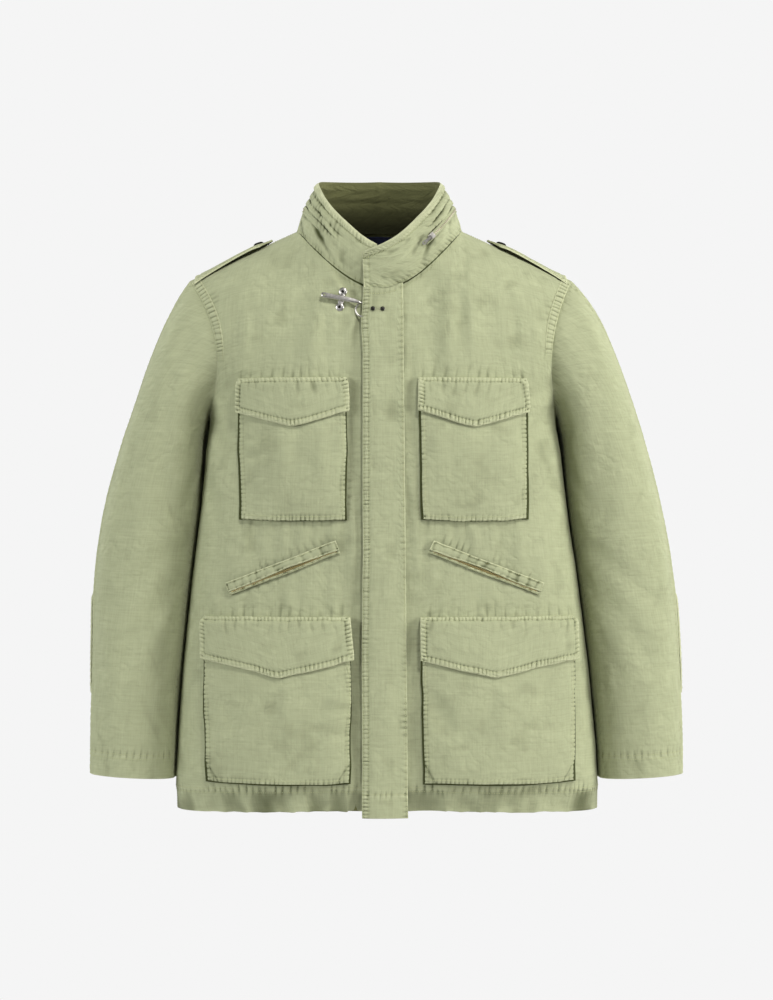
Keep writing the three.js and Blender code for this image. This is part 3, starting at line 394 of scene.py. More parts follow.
def creases_at(creases, a, b, depth=1.0):
    """The finer creases: a ridge with a shallow trough on one side of it."""
    rise = 0.0
    for a1, b1, a2, b2, half, height, bow in creases:
        da, db = a2 - a1, b2 - b1
        length = math.hypot(da, db)
        along = ((a - a1) * da + (b - b1) * db) / length**2
        off = ((a - a1) * db - (b - b1) * da) / length
        held = np.clip(along, 0, 1)
        off = (off - 4 * bow * held * (1 - held)) / (half * (0.75 + 0.5 * held))
        shape = np.exp(-off * off) - 0.45 * np.exp(-((off - 1.7) ** 2))
        strength = smooth((1 - along) / 0.7) * smooth((along + 0.25) / 0.4)
        rise = rise + height * shape * strength
    return depth * rise


def gathers(off, along, seed, pitch=8.0, reach=8.0):
    """Puckers along a row of stitches, uneven in strength and spacing, dying out off it."""
    turn = along / pitch + 0.4 * uneven(along, 0, 2.3 * pitch, seed)
    # Narrow pinches with fuller cloth between them.
    lean_over = 0.02 * off * uneven(along, 0, 3.1 * pitch, seed + 2)
    wave = 0.45 - 1.45 * (0.5 + 0.5 * np.cos(2 * math.pi * (turn + lean_over))) ** 2.5
    strength = 0.72 + 0.28 * uneven(along, 0.6 * off, 2.9 * pitch, seed + 1)
    return GATHER_DEPTH * wave * strength * np.exp(-((off / reach) ** 2))


def groove(off, half=1.1):
    """The dip that a row of stitches pulls into the cloth."""
    return -np.exp(-((off / half) ** 2))


def rolled(off, radius=1.6):
    """A folded edge: nothing at the edge, and the whole thickness a little way in."""
    return np.sqrt(np.clip(1 - (1 - np.clip(off / radius, 0.02, 1)) ** 2, 0, 1))


# ---- the body's surface


def body_half(z):
    return column(BODY_SECTIONS, z)[0]


def lean(z):
    return LEAN * np.maximum(0, z / HEM_Z) ** 0.75


def ridge(x):
    past = np.abs(x) - NECK_HALF
    return np.where(past > 0, -SHOULDER_SLOPE * past, -0.9 * past)


def body_depth(side, x, z):
    half, front, back = column(BODY_SECTIONS, z)
    across = np.minimum(1, np.abs(x) / half)
    full = (1 - across**SECTION_POWER) ** (1 / SECTION_POWER)
    under = np.clip((ridge(x) - z) / SHOULDER_ROUND, 0, 1)
    shoulder = np.sqrt(1 - (1 - under) ** 2)
    if side == "front":
        rise = folds_at(FRONT_FOLDS, x, z) + creases_at(FRONT_CREASES, x, z, 1.7)
    else:
        rise = folds_at(BACK_FOLDS, x, z) + creases_at(BACK_CREASES, x, z, 1.7)
    rise = rise * np.minimum(1, 2 * full) * shoulder
    return (front if side == "front" else back) * full * shoulder + rise


def facing(side):
    return -1 if side == "front" else 1


def body_point(side, x, z):
    return xyz(x + lean(z), facing(side) * body_depth(side, x, z), z)


def on_body(side, x, z, out):
    """A place on the body's cloth, moved out along its normal."""
    x, z, out = np.broadcast_arrays(*(np.asarray(v, float) for v in (x, z, out)))
    step = 2.0
    along_x = body_point(side, x + step, z) - body_point(side, x - step, z)
    along_z = body_point(side, x, z + step) - body_point(side, x, z - step)
    normal = unit(np.cross(along_x, along_z))
    normal = np.where((normal[..., 1] * facing(side) < 0)[..., None], -normal, normal)
    return body_point(side, x, z) + normal * out[..., None]


def armhole(side, hand, turn):
    c = np.cos(math.pi * turn)
    out_z, in_z = SLEEVE_RINGS[0][2:4]
    mid_x = (SHOULDER_X + body_half(in_z)) / 2
    mid_z = (out_z + in_z) / 2
    front = ARMHOLE_INSET["left" if hand > 0 else "right"]
    inset = front if side == "front" else ARMHOLE_INSET["back"]
    return mid_x - (SHOULDER_X - mid_x) * c - inset * (1 - c * c), mid_z - (out_z - mid_z) * c


def neck_z(x):
    return -NECK_DROP * (1 - np.clip(np.abs(x) / NECK_HALF, 0, 1) ** 1.7)


def back_neck_z(x):
    return NECK_BACK_RISE * (1 - (x / NECK_HALF) ** 2)


# ---- grids of points and the shells made from them


def spread(length, pitch, first=True, last=True, by=3):
    """Shares of a length, a pitch apart, with closer ones at an edge that rolls over."""
    near = [0.25, 0.7, 1.3, 2.2, 3.4]
    low = [0.0] + (near if first else [])
    high = [length - d for d in reversed(near)] + [length] if last else [length]
    count = max(1, round((high[0] - low[-1]) / pitch))
    while (len(low) + len(high) + count - 2) % by:
        count += 1
    between = np.linspace(low[-1], high[0], count + 1)[1:-1]
    return np.array([*low, *between, *high]) / length


def grid_normals(points, outward):
    """Unit normals of a grid of points, turned the way that outward points on the whole."""
    across = np.gradient(points, axis=1)
    down = np.gradient(points, axis=0)
    normal = unit(np.cross(down, across))
    return normal if (normal * outward).sum() > 0 else -normal


def runs(points):
    """How far each point lies along the cloth from the grid's first column and first row."""
    across = np.linalg.norm(np.diff(points, axis=1), axis=2)
    down = np.linalg.norm(np.diff(points, axis=0), axis=2)
    across = np.concatenate([np.zeros((len(points), 1)), np.cumsum(across, axis=1)], axis=1)
    down = np.concatenate([np.zeros((1, points.shape[1])), np.cumsum(down, axis=0)], axis=0)
    return across, down


def new_mesh(name, points, faces, uv=None, values=None):
    """An object at the origin from points in millimetres, smooth but for its sharp edges."""
    mesh = bpy.data.meshes.new(name)
    mesh.from_pydata((np.asarray(points) * MM).tolist(), [], faces)
    mesh.polygons.foreach_set("use_smooth", np.ones(len(mesh.polygons), bool))
    if uv is not None:
        corner = np.empty(len(mesh.loops), np.int32)
        mesh.loops.foreach_get("vertex_index", corner)
        layer = mesh.uv_layers.new(name="cloth")
        layer.data.foreach_set("uv", (np.asarray(uv) * MM)[corner].ravel())
    for key, numbers in (values or {}).items():
        mesh.attributes.new(key, "FLOAT", "POINT").data.foreach_set("value", numbers)
    mesh.set_sharp_from_angle(angle=math.radians(60))
    mesh.update()
    made = bpy.data.objects.new(name, mesh)
    bpy.context.collection.objects.link(made)
    return made


def shell(name, outer, inner, high=None, worn=None, by=1, shade_inside=False, grain_row=0):
    """A closed shell of cloth between two grids. The inner one may have only each by-th point.

    The threads of its weave run level with this row of the grid.
    """
    rows, cols = outer.shape[:2]
    inner = inner[::by, ::by]
    low_rows, low_cols = inner.shape[:2]
    top = np.arange(rows * cols).reshape(rows, cols)
    under = rows * cols + np.arange(low_rows * low_cols).reshape(low_rows, low_cols)
    faces = np.stack([top[:-1, :-1], top[:-1, 1:], top[1:, 1:], top[1:, :-1]], -1)
    faces = faces.reshape(-1, 4).tolist()
    back = np.stack([under[:-1, :-1], under[1:, :-1], under[1:, 1:], under[:-1, 1:]], -1)
    faces += back.reshape(-1, 4).tolist()
    rims = [
        (top[0, ::-1], under[0, ::-1]),
        (top[-1], under[-1]),
        (top[:, 0], under[:, 0]),
        (top[::-1, -1], under[::-1, -1]),
    ]
    for edge, lining in rims:
        for k in range(len(lining) - 1):
            start, end = int(lining[k]), int(lining[k + 1])
            beside = [int(v) for v in edge[k * by : (k + 1) * by + 1]]
            if by == 1:
                faces.append([beside[0], beside[1], end, start])
            else:
                faces += [[p, q, start] for p, q in zip(beside, beside[1:])]
                faces.append([beside[-1], end, start])
    points = np.concatenate([outer.reshape(-1, 3), inner.reshape(-1, 3)])
    quads = np.array([f for f in faces if len(f) == 4])
    a, b, c, d = (points[quads[:, k]] for k in range(4))
    if (np.cross(b - a, c - a) * a).sum() + (np.cross(c - a, d - a) * a).sum() < 0:
        faces = [f[::-1] for f in faces]
    across, down = runs(outer)
    uv = np.stack([across, down - down[grain_row][None]], -1)
    uv = np.concatenate([uv.reshape(-1, 2), uv[::by, ::by].reshape(-1, 2)])
    blank = np.zeros(inner.shape[0] * inner.shape[1])
    values = {}
    for key, numbers in (("high", high), ("worn", worn)):
        if numbers is None:
            numbers = np.zeros((rows, cols))
        values[key] = np.concatenate([np.broadcast_to(numbers, (rows, cols)).ravel(), blank])
    made = new_mesh(name, points, faces, uv, values)
    # Inner faces take the second material, the darker inside cloth that carries painted shade.
    if shade_inside:
        inside_faces = np.zeros(len(faces), np.int32)
        first = (rows - 1) * (cols - 1)
        inside_faces[first : first + (low_rows - 1) * (low_cols - 1)] = 1
        made.data.polygons.foreach_set("material_index", inside_faces)
    return made


STITCH = 2.3
STITCH_PITCH = 3.1
THREAD = 0.34


def row_of_stitches(path, normal):
    """Points and faces of the stitches along a path: each a short thread with closed ends."""
    step = np.linalg.norm(np.diff(path, axis=0), axis=1)
    run = np.concatenate([[0], np.cumsum(step)])
    count = int(run[-1] / STITCH_PITCH)
    if count < 1:
        return np.zeros((0, 3)), []
    start = (np.arange(count) + 0.15) * STITCH_PITCH
    at = start[:, None] + STITCH * np.array([0, 0.25, 0.75, 1])[None]
    place = np.stack([np.interp(at, run, path[:, k]) for k in range(3)], -1)
    out = unit(np.stack([np.interp(at, run, normal[:, k]) for k in range(3)], -1))
    along = unit(np.gradient(place, axis=1))
    side = np.cross(along, out)
    bars = []
    for k, lift in ((1, 0.24), (2, 0.24)):
        middle = place[:, k] + out[:, k] * lift
        for turn in range(4):
            c, s = math.cos(turn * math.pi / 2), math.sin(turn * math.pi / 2)
            bars.append(middle + THREAD * (side[:, k] * c + out[:, k] * s * 0.8))
    tips = [place[:, 0] - out[:, 0] * 0.1, place[:, 3] - out[:, 3] * 0.1]
    points = np.stack([*bars, *tips], axis=1)
    faces = []
    for n in range(count):
        o = 10 * n
        for turn in range(4):
            a, b = o + turn, o + (turn + 1) % 4
            faces += [[a, b, b + 4, a + 4], [b, a, o + 8], [a + 4, b + 4, o + 9]]
    return points.reshape(-1, 3), faces


def level_line(points, normals, field, level, axis=0):
    """The line across a grid where a field has this value: its points and normals."""
    if axis == 1:
        points, normals = points.swapaxes(0, 1), normals.swapaxes(0, 1)
        field = field.swapaxes(0, 1)
    at = []
    for j in range(points.shape[1]):
        f = field[:, j]
        if f[0] > f[-1]:
            pick = np.interp(level, f[::-1], np.arange(len(f))[::-1])
        else:
            pick = np.interp(level, f, np.arange(len(f)))
        at.append(pick)
    at = np.array(at)
    low = np.clip(np.floor(at).astype(int), 0, points.shape[0] - 2)
    t = (at - low)[:, None]
    j = np.arange(points.shape[1])
    line = lerp(points[low, j], points[low + 1, j], t)
    return line, unit(lerp(normals[low, j], normals[low + 1, j], t))


made_pieces = {}


def sew(name, rows_, material):
    """All of a piece's stitches as one piece."""
    points, faces, base = [], [], 0
    for path, normal in rows_:
        p, f = row_of_stitches(path, normal)
        points.append(p)
        faces += [[v + base for v in face] for face in f]
        base += len(p)
    stitches = new_mesh(name, np.concatenate(points), faces)
    return finish_piece(stitches, material)


def finish_piece(piece, material, body="jacket"):
    piece.data.materials.append(material)
    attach(piece, body)
    made_pieces[piece.name] = piece
    return piece


def cloth_piece(
    name, outer, inner, node=None, high=None, worn=None, by=1, grain_row=0
):
    """A shell of cloth that stands for its CAD node, which it hides."""
    piece = shell(f"{name}_cloth", outer, inner, high, worn, by, shade_inside=True, grain_row=grain_row)
    finish_piece(piece, cloth)
    # The inside faces get the darker cloth: partly its less washed dye, mostly painted shade.
    piece.data.materials.append(inside_cloth_painted_shade)
    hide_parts(node or name)
    return piece


# ---- materials


def put(tree, kind, inputs=None, **settings):
    """Adds a node with its settings. An input is a value or another node's output."""
    made = tree.nodes.new(kind)
    for key, value in settings.items():
        setattr(made, key, value)
    for key, value in (inputs or {}).items():
        if isinstance(value, bpy.types.NodeSocket):
            tree.links.new(value, made.inputs[key])
        else:
            made.inputs[key].default_value = value
    return made


def maths(tree, operation, a, b=0.0, clamp=False):
    made = put(tree, "ShaderNodeMath", {0: a, 1: b}, operation=operation, use_clamp=clamp)
    return made.outputs[0]


def blended(tree, share, a, b, kind="MIX"):
    made = put(tree, "ShaderNodeMix", data_type="RGBA", blend_type=kind, clamp_factor=True)
    for socket, value in ((0, share), (6, a), (7, b)):
        if isinstance(value, bpy.types.NodeSocket):
            tree.links.new(value, made.inputs[socket])
        else:
            made.inputs[socket].default_value = value
    return made.outputs[2]


def new_group(name, inputs, outputs):
    """A node group with these named sockets. Returns the tree, its inputs' node and its output's."""
    tree = bpy.data.node_groups.new(name, "ShaderNodeTree")
    kinds = {"colour": "NodeSocketColor", "value": "NodeSocketFloat"}
    for label, kind in inputs:
        tree.interface.new_socket(name=label, in_out="INPUT", socket_type=kinds[kind])
    for label, kind in outputs:
        tree.interface.new_socket(name=label, in_out="OUTPUT", socket_type=kinds[kind])
    return tree, tree.nodes.new("NodeGroupInput"), tree.nodes.new("NodeGroupOutput")


def woven_group():
    """Washed cloth: threads, slubs and uneven dye, paler where it is worn, with painted shade in the dips of its relief
    and in its crumples.
    """
    tree, given, result = new_group(
        "washed_weave",
        [
            ("Dye", "colour"),
            ("Worn", "colour"),
            ("Dip shade", "colour"),
            ("Thread mm", "value"),
            ("Slub", "value"),
            ("Mottle", "value"),
        ],
        [("Colour", "colour"), ("Roughness", "value"), ("Height", "value")],
    )
    place = put(tree, "ShaderNodeTexCoord").outputs["UV"]
    flat = put(tree, "ShaderNodeVectorMath", {0: place, 1: (1000, 1000, 1000)}, operation="MULTIPLY")
    split = put(tree, "ShaderNodeSeparateXYZ", {0: flat.outputs[0]})
    turn = maths(tree, "DIVIDE", 2 * math.pi, given.outputs["Thread mm"])
    warp = maths(tree, "SINE", maths(tree, "MULTIPLY", split.outputs[0], turn))
    weft = maths(tree, "SINE", maths(tree, "MULTIPLY", split.outputs[1], turn))
    weave = maths(tree, "MULTIPLY", warp, weft)

    def noise(across, down, detail, rough=0.5):
        where = put(
            tree, "ShaderNodeVectorMath", {0: flat.outputs[0], 1: (across, down, 1)}, operation="MULTIPLY"
        )
        made = put(
            tree,
            "ShaderNodeTexNoise",
            {"Vector": where.outputs[0], "Scale": 1.0, "Detail": detail, "Roughness": rough},
        )
        return maths(tree, "SUBTRACT", made.outputs["Fac"], 0.5)

    slub = maths(tree, "ADD", noise(0.55, 0.022, 3, 0.65), noise(0.022, 0.55, 3, 0.65))
    slub = maths(tree, "MULTIPLY", slub, given.outputs["Slub"])
    broad = maths(tree, "ADD", noise(0.012, 0.02, 3), noise(0.06, 0.05, 2))
    broad = maths(tree, "MULTIPLY", broad, given.outputs["Mottle"])
    rub = maths(tree, "ADD", noise(0.22, 0.22, 3, 0.6), 0.75)
    # Crumples are sharp valleys, more of them in some places than in others.
    patchy = maths(tree, "ADD", maths(tree, "MULTIPLY", noise(0.014, 0.018, 2), 3.0), 0.8, clamp=True)
    crumple = maths(tree, "MULTIPLY", maths(tree, "ABSOLUTE", noise(0.04, 0.05, 2, 0.45)), 30.0)
    small = maths(tree, "MULTIPLY", maths(tree, "ABSOLUTE", noise(0.13, 0.1, 1, 0.4)), 7.0)
    crumple = maths(tree, "MULTIPLY", maths(tree, "ADD", crumple, small), patchy)
    high = put(tree, "ShaderNodeAttribute", attribute_name="high").outputs["Fac"]
    worn = put(tree, "ShaderNodeAttribute", attribute_name="worn").outputs["Fac"]
    # Where the relief dips, the colour is mixed towards the dip shade colour: painted shade.
    dip_shade = maths(tree, "SUBTRACT", maths(tree, "MULTIPLY", high, -0.64), 0.08, clamp=True)
    tone = blended(tree, dip_shade, given.outputs["Dye"], given.outputs["Dip shade"])
    rise = maths(tree, "ADD", maths(tree, "MULTIPLY", high, 0.55), 0.5)
    rubbed = maths(tree, "MULTIPLY", maths(tree, "MULTIPLY", worn, rub), rise, clamp=True)
    tone = blended(tree, rubbed, tone, given.outputs["Worn"])
    shade = maths(tree, "ADD", maths(tree, "ADD", slub, broad), 1.0)
    shade = maths(tree, "ADD", shade, maths(tree, "MULTIPLY", weave, 0.03))
    # The crumples also lighten the colour everywhere but in their valleys: painted shade.
    shade = maths(tree, "ADD", shade, maths(tree, "MULTIPLY", crumple, 0.012))
    grey = put(tree, "ShaderNodeCombineColor", {0: shade, 1: shade, 2: shade})
    tone = blended(tree, 1.0, tone, grey.outputs[0], "MULTIPLY")
    tree.links.new(tone, result.inputs["Colour"])
    rough = maths(tree, "ADD", maths(tree, "MULTIPLY", slub, -0.5), 0.88, clamp=True)
    tree.links.new(rough, result.inputs["Roughness"])
    height = maths(tree, "ADD", maths(tree, "MULTIPLY", weave, 0.2), maths(tree, "MULTIPLY", slub, 1.4))
    height = maths(tree, "ADD", height, crumple)
    tree.links.new(height, result.inputs["Height"])
    return tree


WOVEN = woven_group()


def surface(material):
    material.use_nodes = True
    tree = material.node_tree
    return tree, tree.nodes["Principled BSDF"]


# deep is the colour painted into the dips of the cloth's relief: painted shade.
def woven_material(name, dye, worn, deep, thread=0.75, slub=0.32, mottle=0.1, sheen=0.04):
    material = bpy.data.materials.new(name)
    tree, shader = surface(material)
    look = put(tree, "ShaderNodeGroup", node_tree=WOVEN)
    for key, value in (
        ("Dye", (*dye, 1)),
        ("Worn", (*worn, 1)),
        ("Dip shade", (*deep, 1)),
        ("Thread mm", thread),
        ("Slub", slub),
        ("Mottle", mottle),
    ):
        look.inputs[key].default_value = value
    bump = put(tree, "ShaderNodeBump", {"Height": look.outputs["Height"]})
    bump.inputs["Strength"].default_value = 0.7
    bump.inputs["Distance"].default_value = 0.0002
    tree.links.new(look.outputs["Colour"], shader.inputs["Base Color"])
    tree.links.new(look.outputs["Roughness"], shader.inputs["Roughness"])
    tree.links.new(bump.outputs[0], shader.inputs["Normal"])
    shader.inputs["Sheen Weight"].default_value = sheen
    shader.inputs["Sheen Roughness"].default_value = 0.5
    shader.inputs["Specular IOR Level"].default_value = 0.12
    return material


def metal_group():
    """Handled metal: cloudy polish, fine scratches and darker tarnish in patches."""
    tree, given, result = new_group(
        "handled_metal",
        [("Metal", "colour"), ("Tarnish", "colour"), ("Tarnished", "value"), ("Polish", "value")],
        [("Colour", "colour"), ("Roughness", "value"), ("Height", "value")],
    )
    place = put(tree, "ShaderNodeTexCoord").outputs["Object"]
    cloud = put(tree, "ShaderNodeTexNoise", {"Vector": place, "Scale": 260.0, "Detail": 4.0})
    streak = put(
        tree, "ShaderNodeVectorMath", {0: place, 1: (700, 2600, 5200)}, operation="MULTIPLY"
    )
    scratch = put(tree, "ShaderNodeTexNoise", {"Vector": streak.outputs[0], "Scale": 1.0, "Detail": 2.0})
    patch = maths(tree, "MULTIPLY", cloud.outputs["Fac"], given.outputs["Tarnished"], clamp=True)
    tone = blended(tree, patch, given.outputs["Metal"], given.outputs["Tarnish"])
    tree.links.new(tone, result.inputs["Colour"])
    rough = maths(tree, "MULTIPLY", scratch.outputs["Fac"], 0.22)
    rough = maths(tree, "ADD", rough, maths(tree, "MULTIPLY", cloud.outputs["Fac"], 0.16))
    rough = maths(tree, "ADD", rough, given.outputs["Polish"], clamp=True)
    tree.links.new(rough, result.inputs["Roughness"])
    tree.links.new(scratch.outputs["Fac"], result.inputs["Height"])
    return tree


HANDLED = metal_group()


def metal_material(name, metal, tarnish, tarnished, polish):
    material = bpy.data.materials.new(name)
    tree, shader = surface(material)
    look = put(tree, "ShaderNodeGroup", node_tree=HANDLED)
    for key, value in (
        ("Metal", (*metal, 1)),
        ("Tarnish", (*tarnish, 1)),
        ("Tarnished", tarnished),
        ("Polish", polish),
    ):
        look.inputs[key].default_value = value
    bump = put(tree, "ShaderNodeBump", {"Height": look.outputs["Height"]})
    bump.inputs["Strength"].default_value = 0.25
    bump.inputs["Distance"].default_value = 0.0001
    tree.links.new(look.outputs["Colour"], shader.inputs["Base Color"])
    tree.links.new(look.outputs["Roughness"], shader.inputs["Roughness"])
    tree.links.new(bump.outputs[0], shader.inputs["Normal"])
    shader.inputs["Metallic"].default_value = 1.0
    return material


CLOTH_DYE = (0.352, 0.376, 0.232)
CLOTH_WORN = (0.6, 0.62, 0.4)
# The colour painted into the cloth's dips, a painted shade.
CLOTH_DIP_SHADE = (0.05, 0.058, 0.02)
cloth = woven_material("sage_cloth", CLOTH_DYE, CLOTH_WORN, CLOTH_DIP_SHADE)
# The back of the cloth, inside the jacket, is drawn far darker than its face: partly its less washed dye, mostly
# painted shade.
inside_cloth_painted_shade = woven_material("inside_cloth_painted_shade", (0.15, 0.155, 0.066), (0.3, 0.31, 0.16), (0.02, 0.021, 0.008))
lining = woven_material("sage_tape", (0.25, 0.27, 0.135), (0.4, 0.42, 0.24), (0.15, 0.16, 0.07), 1.1)
navy = woven_material("navy_label", (0.008, 0.01, 0.026), (0.03, 0.035, 0.07), (0.004, 0.005, 0.012), 0.5)
thread = woven_material("sage_thread", (0.4, 0.425, 0.235), (0.5, 0.52, 0.33), (0.3, 0.32, 0.17), 0.3, 0.1)
steel = metal_material("aged_nickel", (0.74, 0.72, 0.68), (0.07, 0.066, 0.06), 0.75, 0.16)
dark_steel = metal_material("burnished_black", (0.06, 0.058, 0.052), (0.015, 0.014, 0.012), 0.8, 0.18)
brass = metal_material("aged_brass", (0.75, 0.62, 0.3), (0.3, 0.23, 0.09), 0.6, 0.25)
cream = metal_material("pale_teeth", (0.62, 0.58, 0.46), (0.4, 0.36, 0.26), 0.6, 0.25)


# ---- the panels of the body


def panel_grid(side, hand, start, neck_steps, shoulder_steps, low_pitch, high_steps):
    """Half a body panel from the middle to the side, hem to shoulder: points and their x and z."""
    low = spread(ARMPIT_Z - HEM_Z, low_pitch, last=False)
    side_z = HEM_Z + low * (ARMPIT_Z - HEM_Z)
    turn = np.linspace(0, 1, high_steps + 1)[1:]
    high_x, high_z = armhole(side, hand, turn)
    level_x = np.concatenate([body_half(side_z), high_x])
    level_z = np.concatenate([side_z, high_z])
    t = np.linspace(0, 1, neck_steps + 1)
    neck = lerp(start, NECK_HALF, 0.5 * t + 0.5 * np.sin(t * math.pi / 2))
    t = np.linspace(0, 1, shoulder_steps + 1)[1:]
    shoulder = lerp(NECK_HALF, SHOULDER_X, 0.5 * t + 0.5 * np.sin(t * math.pi / 2))
    top = np.concatenate([neck, shoulder])
    at_neck = neck_z(top) if side == "front" else back_neck_z(top)
    top_z = np.where(top >= NECK_HALF, ridge(top), at_neck)
    share = (top - start) / (SHOULDER_X - start)
    x = start + (level_x[:, None] - start) * share
    hem = HEM_Z + HEM_RISE * (1 - share * share)
    full = ridge(SHOULDER_X) - HEM_Z
    z = hem + ((level_z - HEM_Z) / full)[:, None] * (top_z - hem)
    return hand * x, z


def beside_pocket(x, z, hand, pocket, seed):
    """Gathers that the pocket's stitches pull into the panel round it."""
    x = hand * x
    within = smooth((x - pocket["inner"] + 4) / 8) * smooth((pocket["outer"] + 4 - x) / 8)
    above, below = z - pocket["top"], pocket["bottom"] - z
    rise = 0.65 * within * (above > 0) * gathers(above, x, seed, 13, 15)
    rise += 0.45 * within * (below > 0) * gathers(below, x, seed + 3, 11, 11)
    level = smooth((z - pocket["bottom"] + 4) / 8) * smooth((pocket["top"] + 4 - z) / 8)
    outside = x - pocket["outer"]
    rise += 0.3 * level * (outside > 0) * gathers(outside, z, seed + 5, 9, 7)
    inside = pocket["inner"] - x
    rise += 0.3 * level * (inside > 0) * gathers(inside, z, seed + 7, 9, 7)
    return rise


def beside_slant(x, z, hand, seed):
    """Short gathers above and below the slanted pocket."""
    p = SLANT_POCKET
    dx, dz = p["outer_x"] - p["inner_x"], p["outer_z"] - p["inner_z"]
    length = math.hypot(dx, dz)
    along = ((hand * x - p["inner_x"]) * dx + (z - p["inner_z"]) * dz) / length
    off = ((z - p["inner_z"]) * dx - (hand * x - p["inner_x"]) * dz) / length
    within = smooth(along / 12) * smooth((length - along) / 12)
    half = p["width"] / 2
    rise = 0.75 * (off > half) * gathers(off - half, along, seed, 10, 11)
    rise += 0.6 * (off < -half) * gathers(-off - half, along, seed + 2, 13, 10)
    return rise * within * (0.7 + 0.5 * uneven(along, 0, 34, seed + 4))


def body_panel(name, side, x, z, hand, seed):
    """One body panel as (outer, inner, its relief with painted shade, worn, normals, distances to its edges)."""
    points = body_point(side, x, z)
    outward = xyz(points[..., 0], facing(side) * 260, 0)
    normal = grid_normals(points, outward)
    across, down = runs(points)
    if hand:
        ends = [across[:, -1:] - across]
    else:
        ends = [across, across[:, -1:] - across]
    hem_off, top_off = down, down[-1:] - down
    high = 0.75 * gathers(hem_off - HEM_DEEP, across, seed, 8.5, 7) + 0.35 * groove(hem_off - HEM_DEEP)
    below = smooth((HEM_DEEP - hem_off) / 12)
    high += below * 0.55 * uneven(across, 0.12 * hem_off, 15, seed + 31)
    high += 0.35 * gathers(top_off - 5, across, seed + 9, 8, 7) + 0.25 * groove(top_off - 7)
    worn = np.exp(-((hem_off / 1.6) ** 2)) * 0.8
    worn = worn + 0.35 * np.exp(-(((hem_off - HEM_DEEP + 1) / 2.4) ** 2))
    fade = smooth(top_off / 1.5)
    firm = smooth((z + 215) / 40) if side == "front" else smooth((z - ARMPIT_Z) / 25)
    low = smooth((ARMPIT_Z + 10 - z) / 20)
    for number, off in enumerate(ends):
        key = seed + 11 * number
        high += firm * 0.35 * gathers(off - 16, down, key + 4, 9, 6)
        high += low * 0.35 * gathers(off - 5, down, key + 5, 9, 8)
        worn = worn + 0.4 * np.exp(-((off / 1.6) ** 2))
        fade = fade * smooth(off / 1.5)
    if side == "front":
        lower = LOWER_POCKET if hand > 0 else RIGHT_LOWER_POCKET
        for pocket, key in ((CHEST_POCKET, 60), (lower, 80)):
            high += beside_pocket(x, z, hand, pocket, seed + key)
        high += beside_slant(x, z, hand, seed + 100)
    high += 0.35 * uneven(across, down, 26, seed + 40) + 0.18 * uneven(across, down, 11, seed + 41)
    high = high * fade
    tuck = 9 * smooth((38 - hem_off) / 38) * np.abs(normal[..., 1])
    points = points - normal * tuck[..., None]
    # The hem band below its stitches sinks a little, and the same offset darkens its colour as painted shade.
    high = high - 0.55 * smooth((HEM_DEEP - 1 - hem_off) / 3)
    roll = WALL * (1 - rolled(hem_off))
    outer = points + normal * (high - roll)[..., None]
    inner = points - normal * (1.4 * WALL)
    # The neck's raw edge lies in the dark inside the collar, and only its colour is darkened there, as painted shade.
    shade = high - 4 * smooth((NECK_HALF - 2 - np.abs(x)) / 4) * smooth((3 - top_off) / 1.5)
    return outer, inner, shade, worn, normal, ends, hem_off, top_off


def panel_rows(outer, normal, ends, hem_off, top_off, z):
    rows = [level_line(outer, normal, hem_off, HEM_DEEP), level_line(outer, normal, hem_off, HEM_DEEP - 5)]
    rows.append(level_line(outer, normal, top_off, 7))
    for number, off in enumerate(ends):
        column_at = -1 if number or len(ends) == 1 else 0
        line, out = level_line(outer, normal, off, 3.2, axis=1)
        keep = z[:, column_at] < ARMPIT_Z
        rows.append((line[keep], out[keep]))
    return rows


FELL_WIDE = 12


def armhole_band(side, hand, lowest, seed):
    """The felled seam round an armhole, pinched between its two rows of stitches."""
    turn = np.linspace(0, 1, 400)
    edge = np.stack(armhole(side, hand, turn), -1)
    edge = edge[edge[:, 1] > lowest]
    run = np.concatenate([[0], np.cumsum(np.linalg.norm(np.diff(edge, axis=0), axis=1))])
    at = spread(run[-1] - 6, 1.15)[:, None] * (run[-1] - 6)
    slope = unit(np.gradient(edge, axis=0))
    place = [np.interp(at, run, edge[:, k]) for k in (0, 1)]
    slope = [np.interp(at, run, slope[:, k]) for k in (0, 1)]
    off = spread(FELL_WIDE, 1.15)[None] * FELL_WIDE
    wide = off * lerp(0.75, 1, smooth(at / 60)) + 0.4
    x, z = place[0] - slope[1] * wide, place[1] + slope[0] * wide
    along, across = np.broadcast_arrays(at, off)
    high = 0.95 * gathers(across - 6, along, seed, 5.6, 5.5) + 0.5 * (groove(across - 2) + groove(across - 10))
    high = high * smooth(across / 1) * smooth((FELL_WIDE - across) / 1)
    nearest = np.minimum(across, FELL_WIDE - across)
    ends = smooth(along / 18)
    out = 0.15 + (1.1 * rolled(nearest) + 0.8 * high) * ends
    outer, under = on_body(side, hand * x, z, out), on_body(side, hand * x, z, -0.3 + 0 * out)
    normal = unit(outer - under)
    word = "left" if hand > 0 else "right"
    worn = 0.75 * ends * np.exp(-((nearest / 1.6) ** 2)) + 0.4 * ends
    band = shell(f"armhole_{side}_{word}", outer, under, high=high * ends, worn=worn, by=3)
    finish_piece(band, cloth)
    rows = [level_line(outer, normal, across, inset, axis=1) for inset in (2.0, 10.0)]
    stitches = sew(f"armhole_{side}_{word}_stitches", rows, thread)
    return [band, stitches]


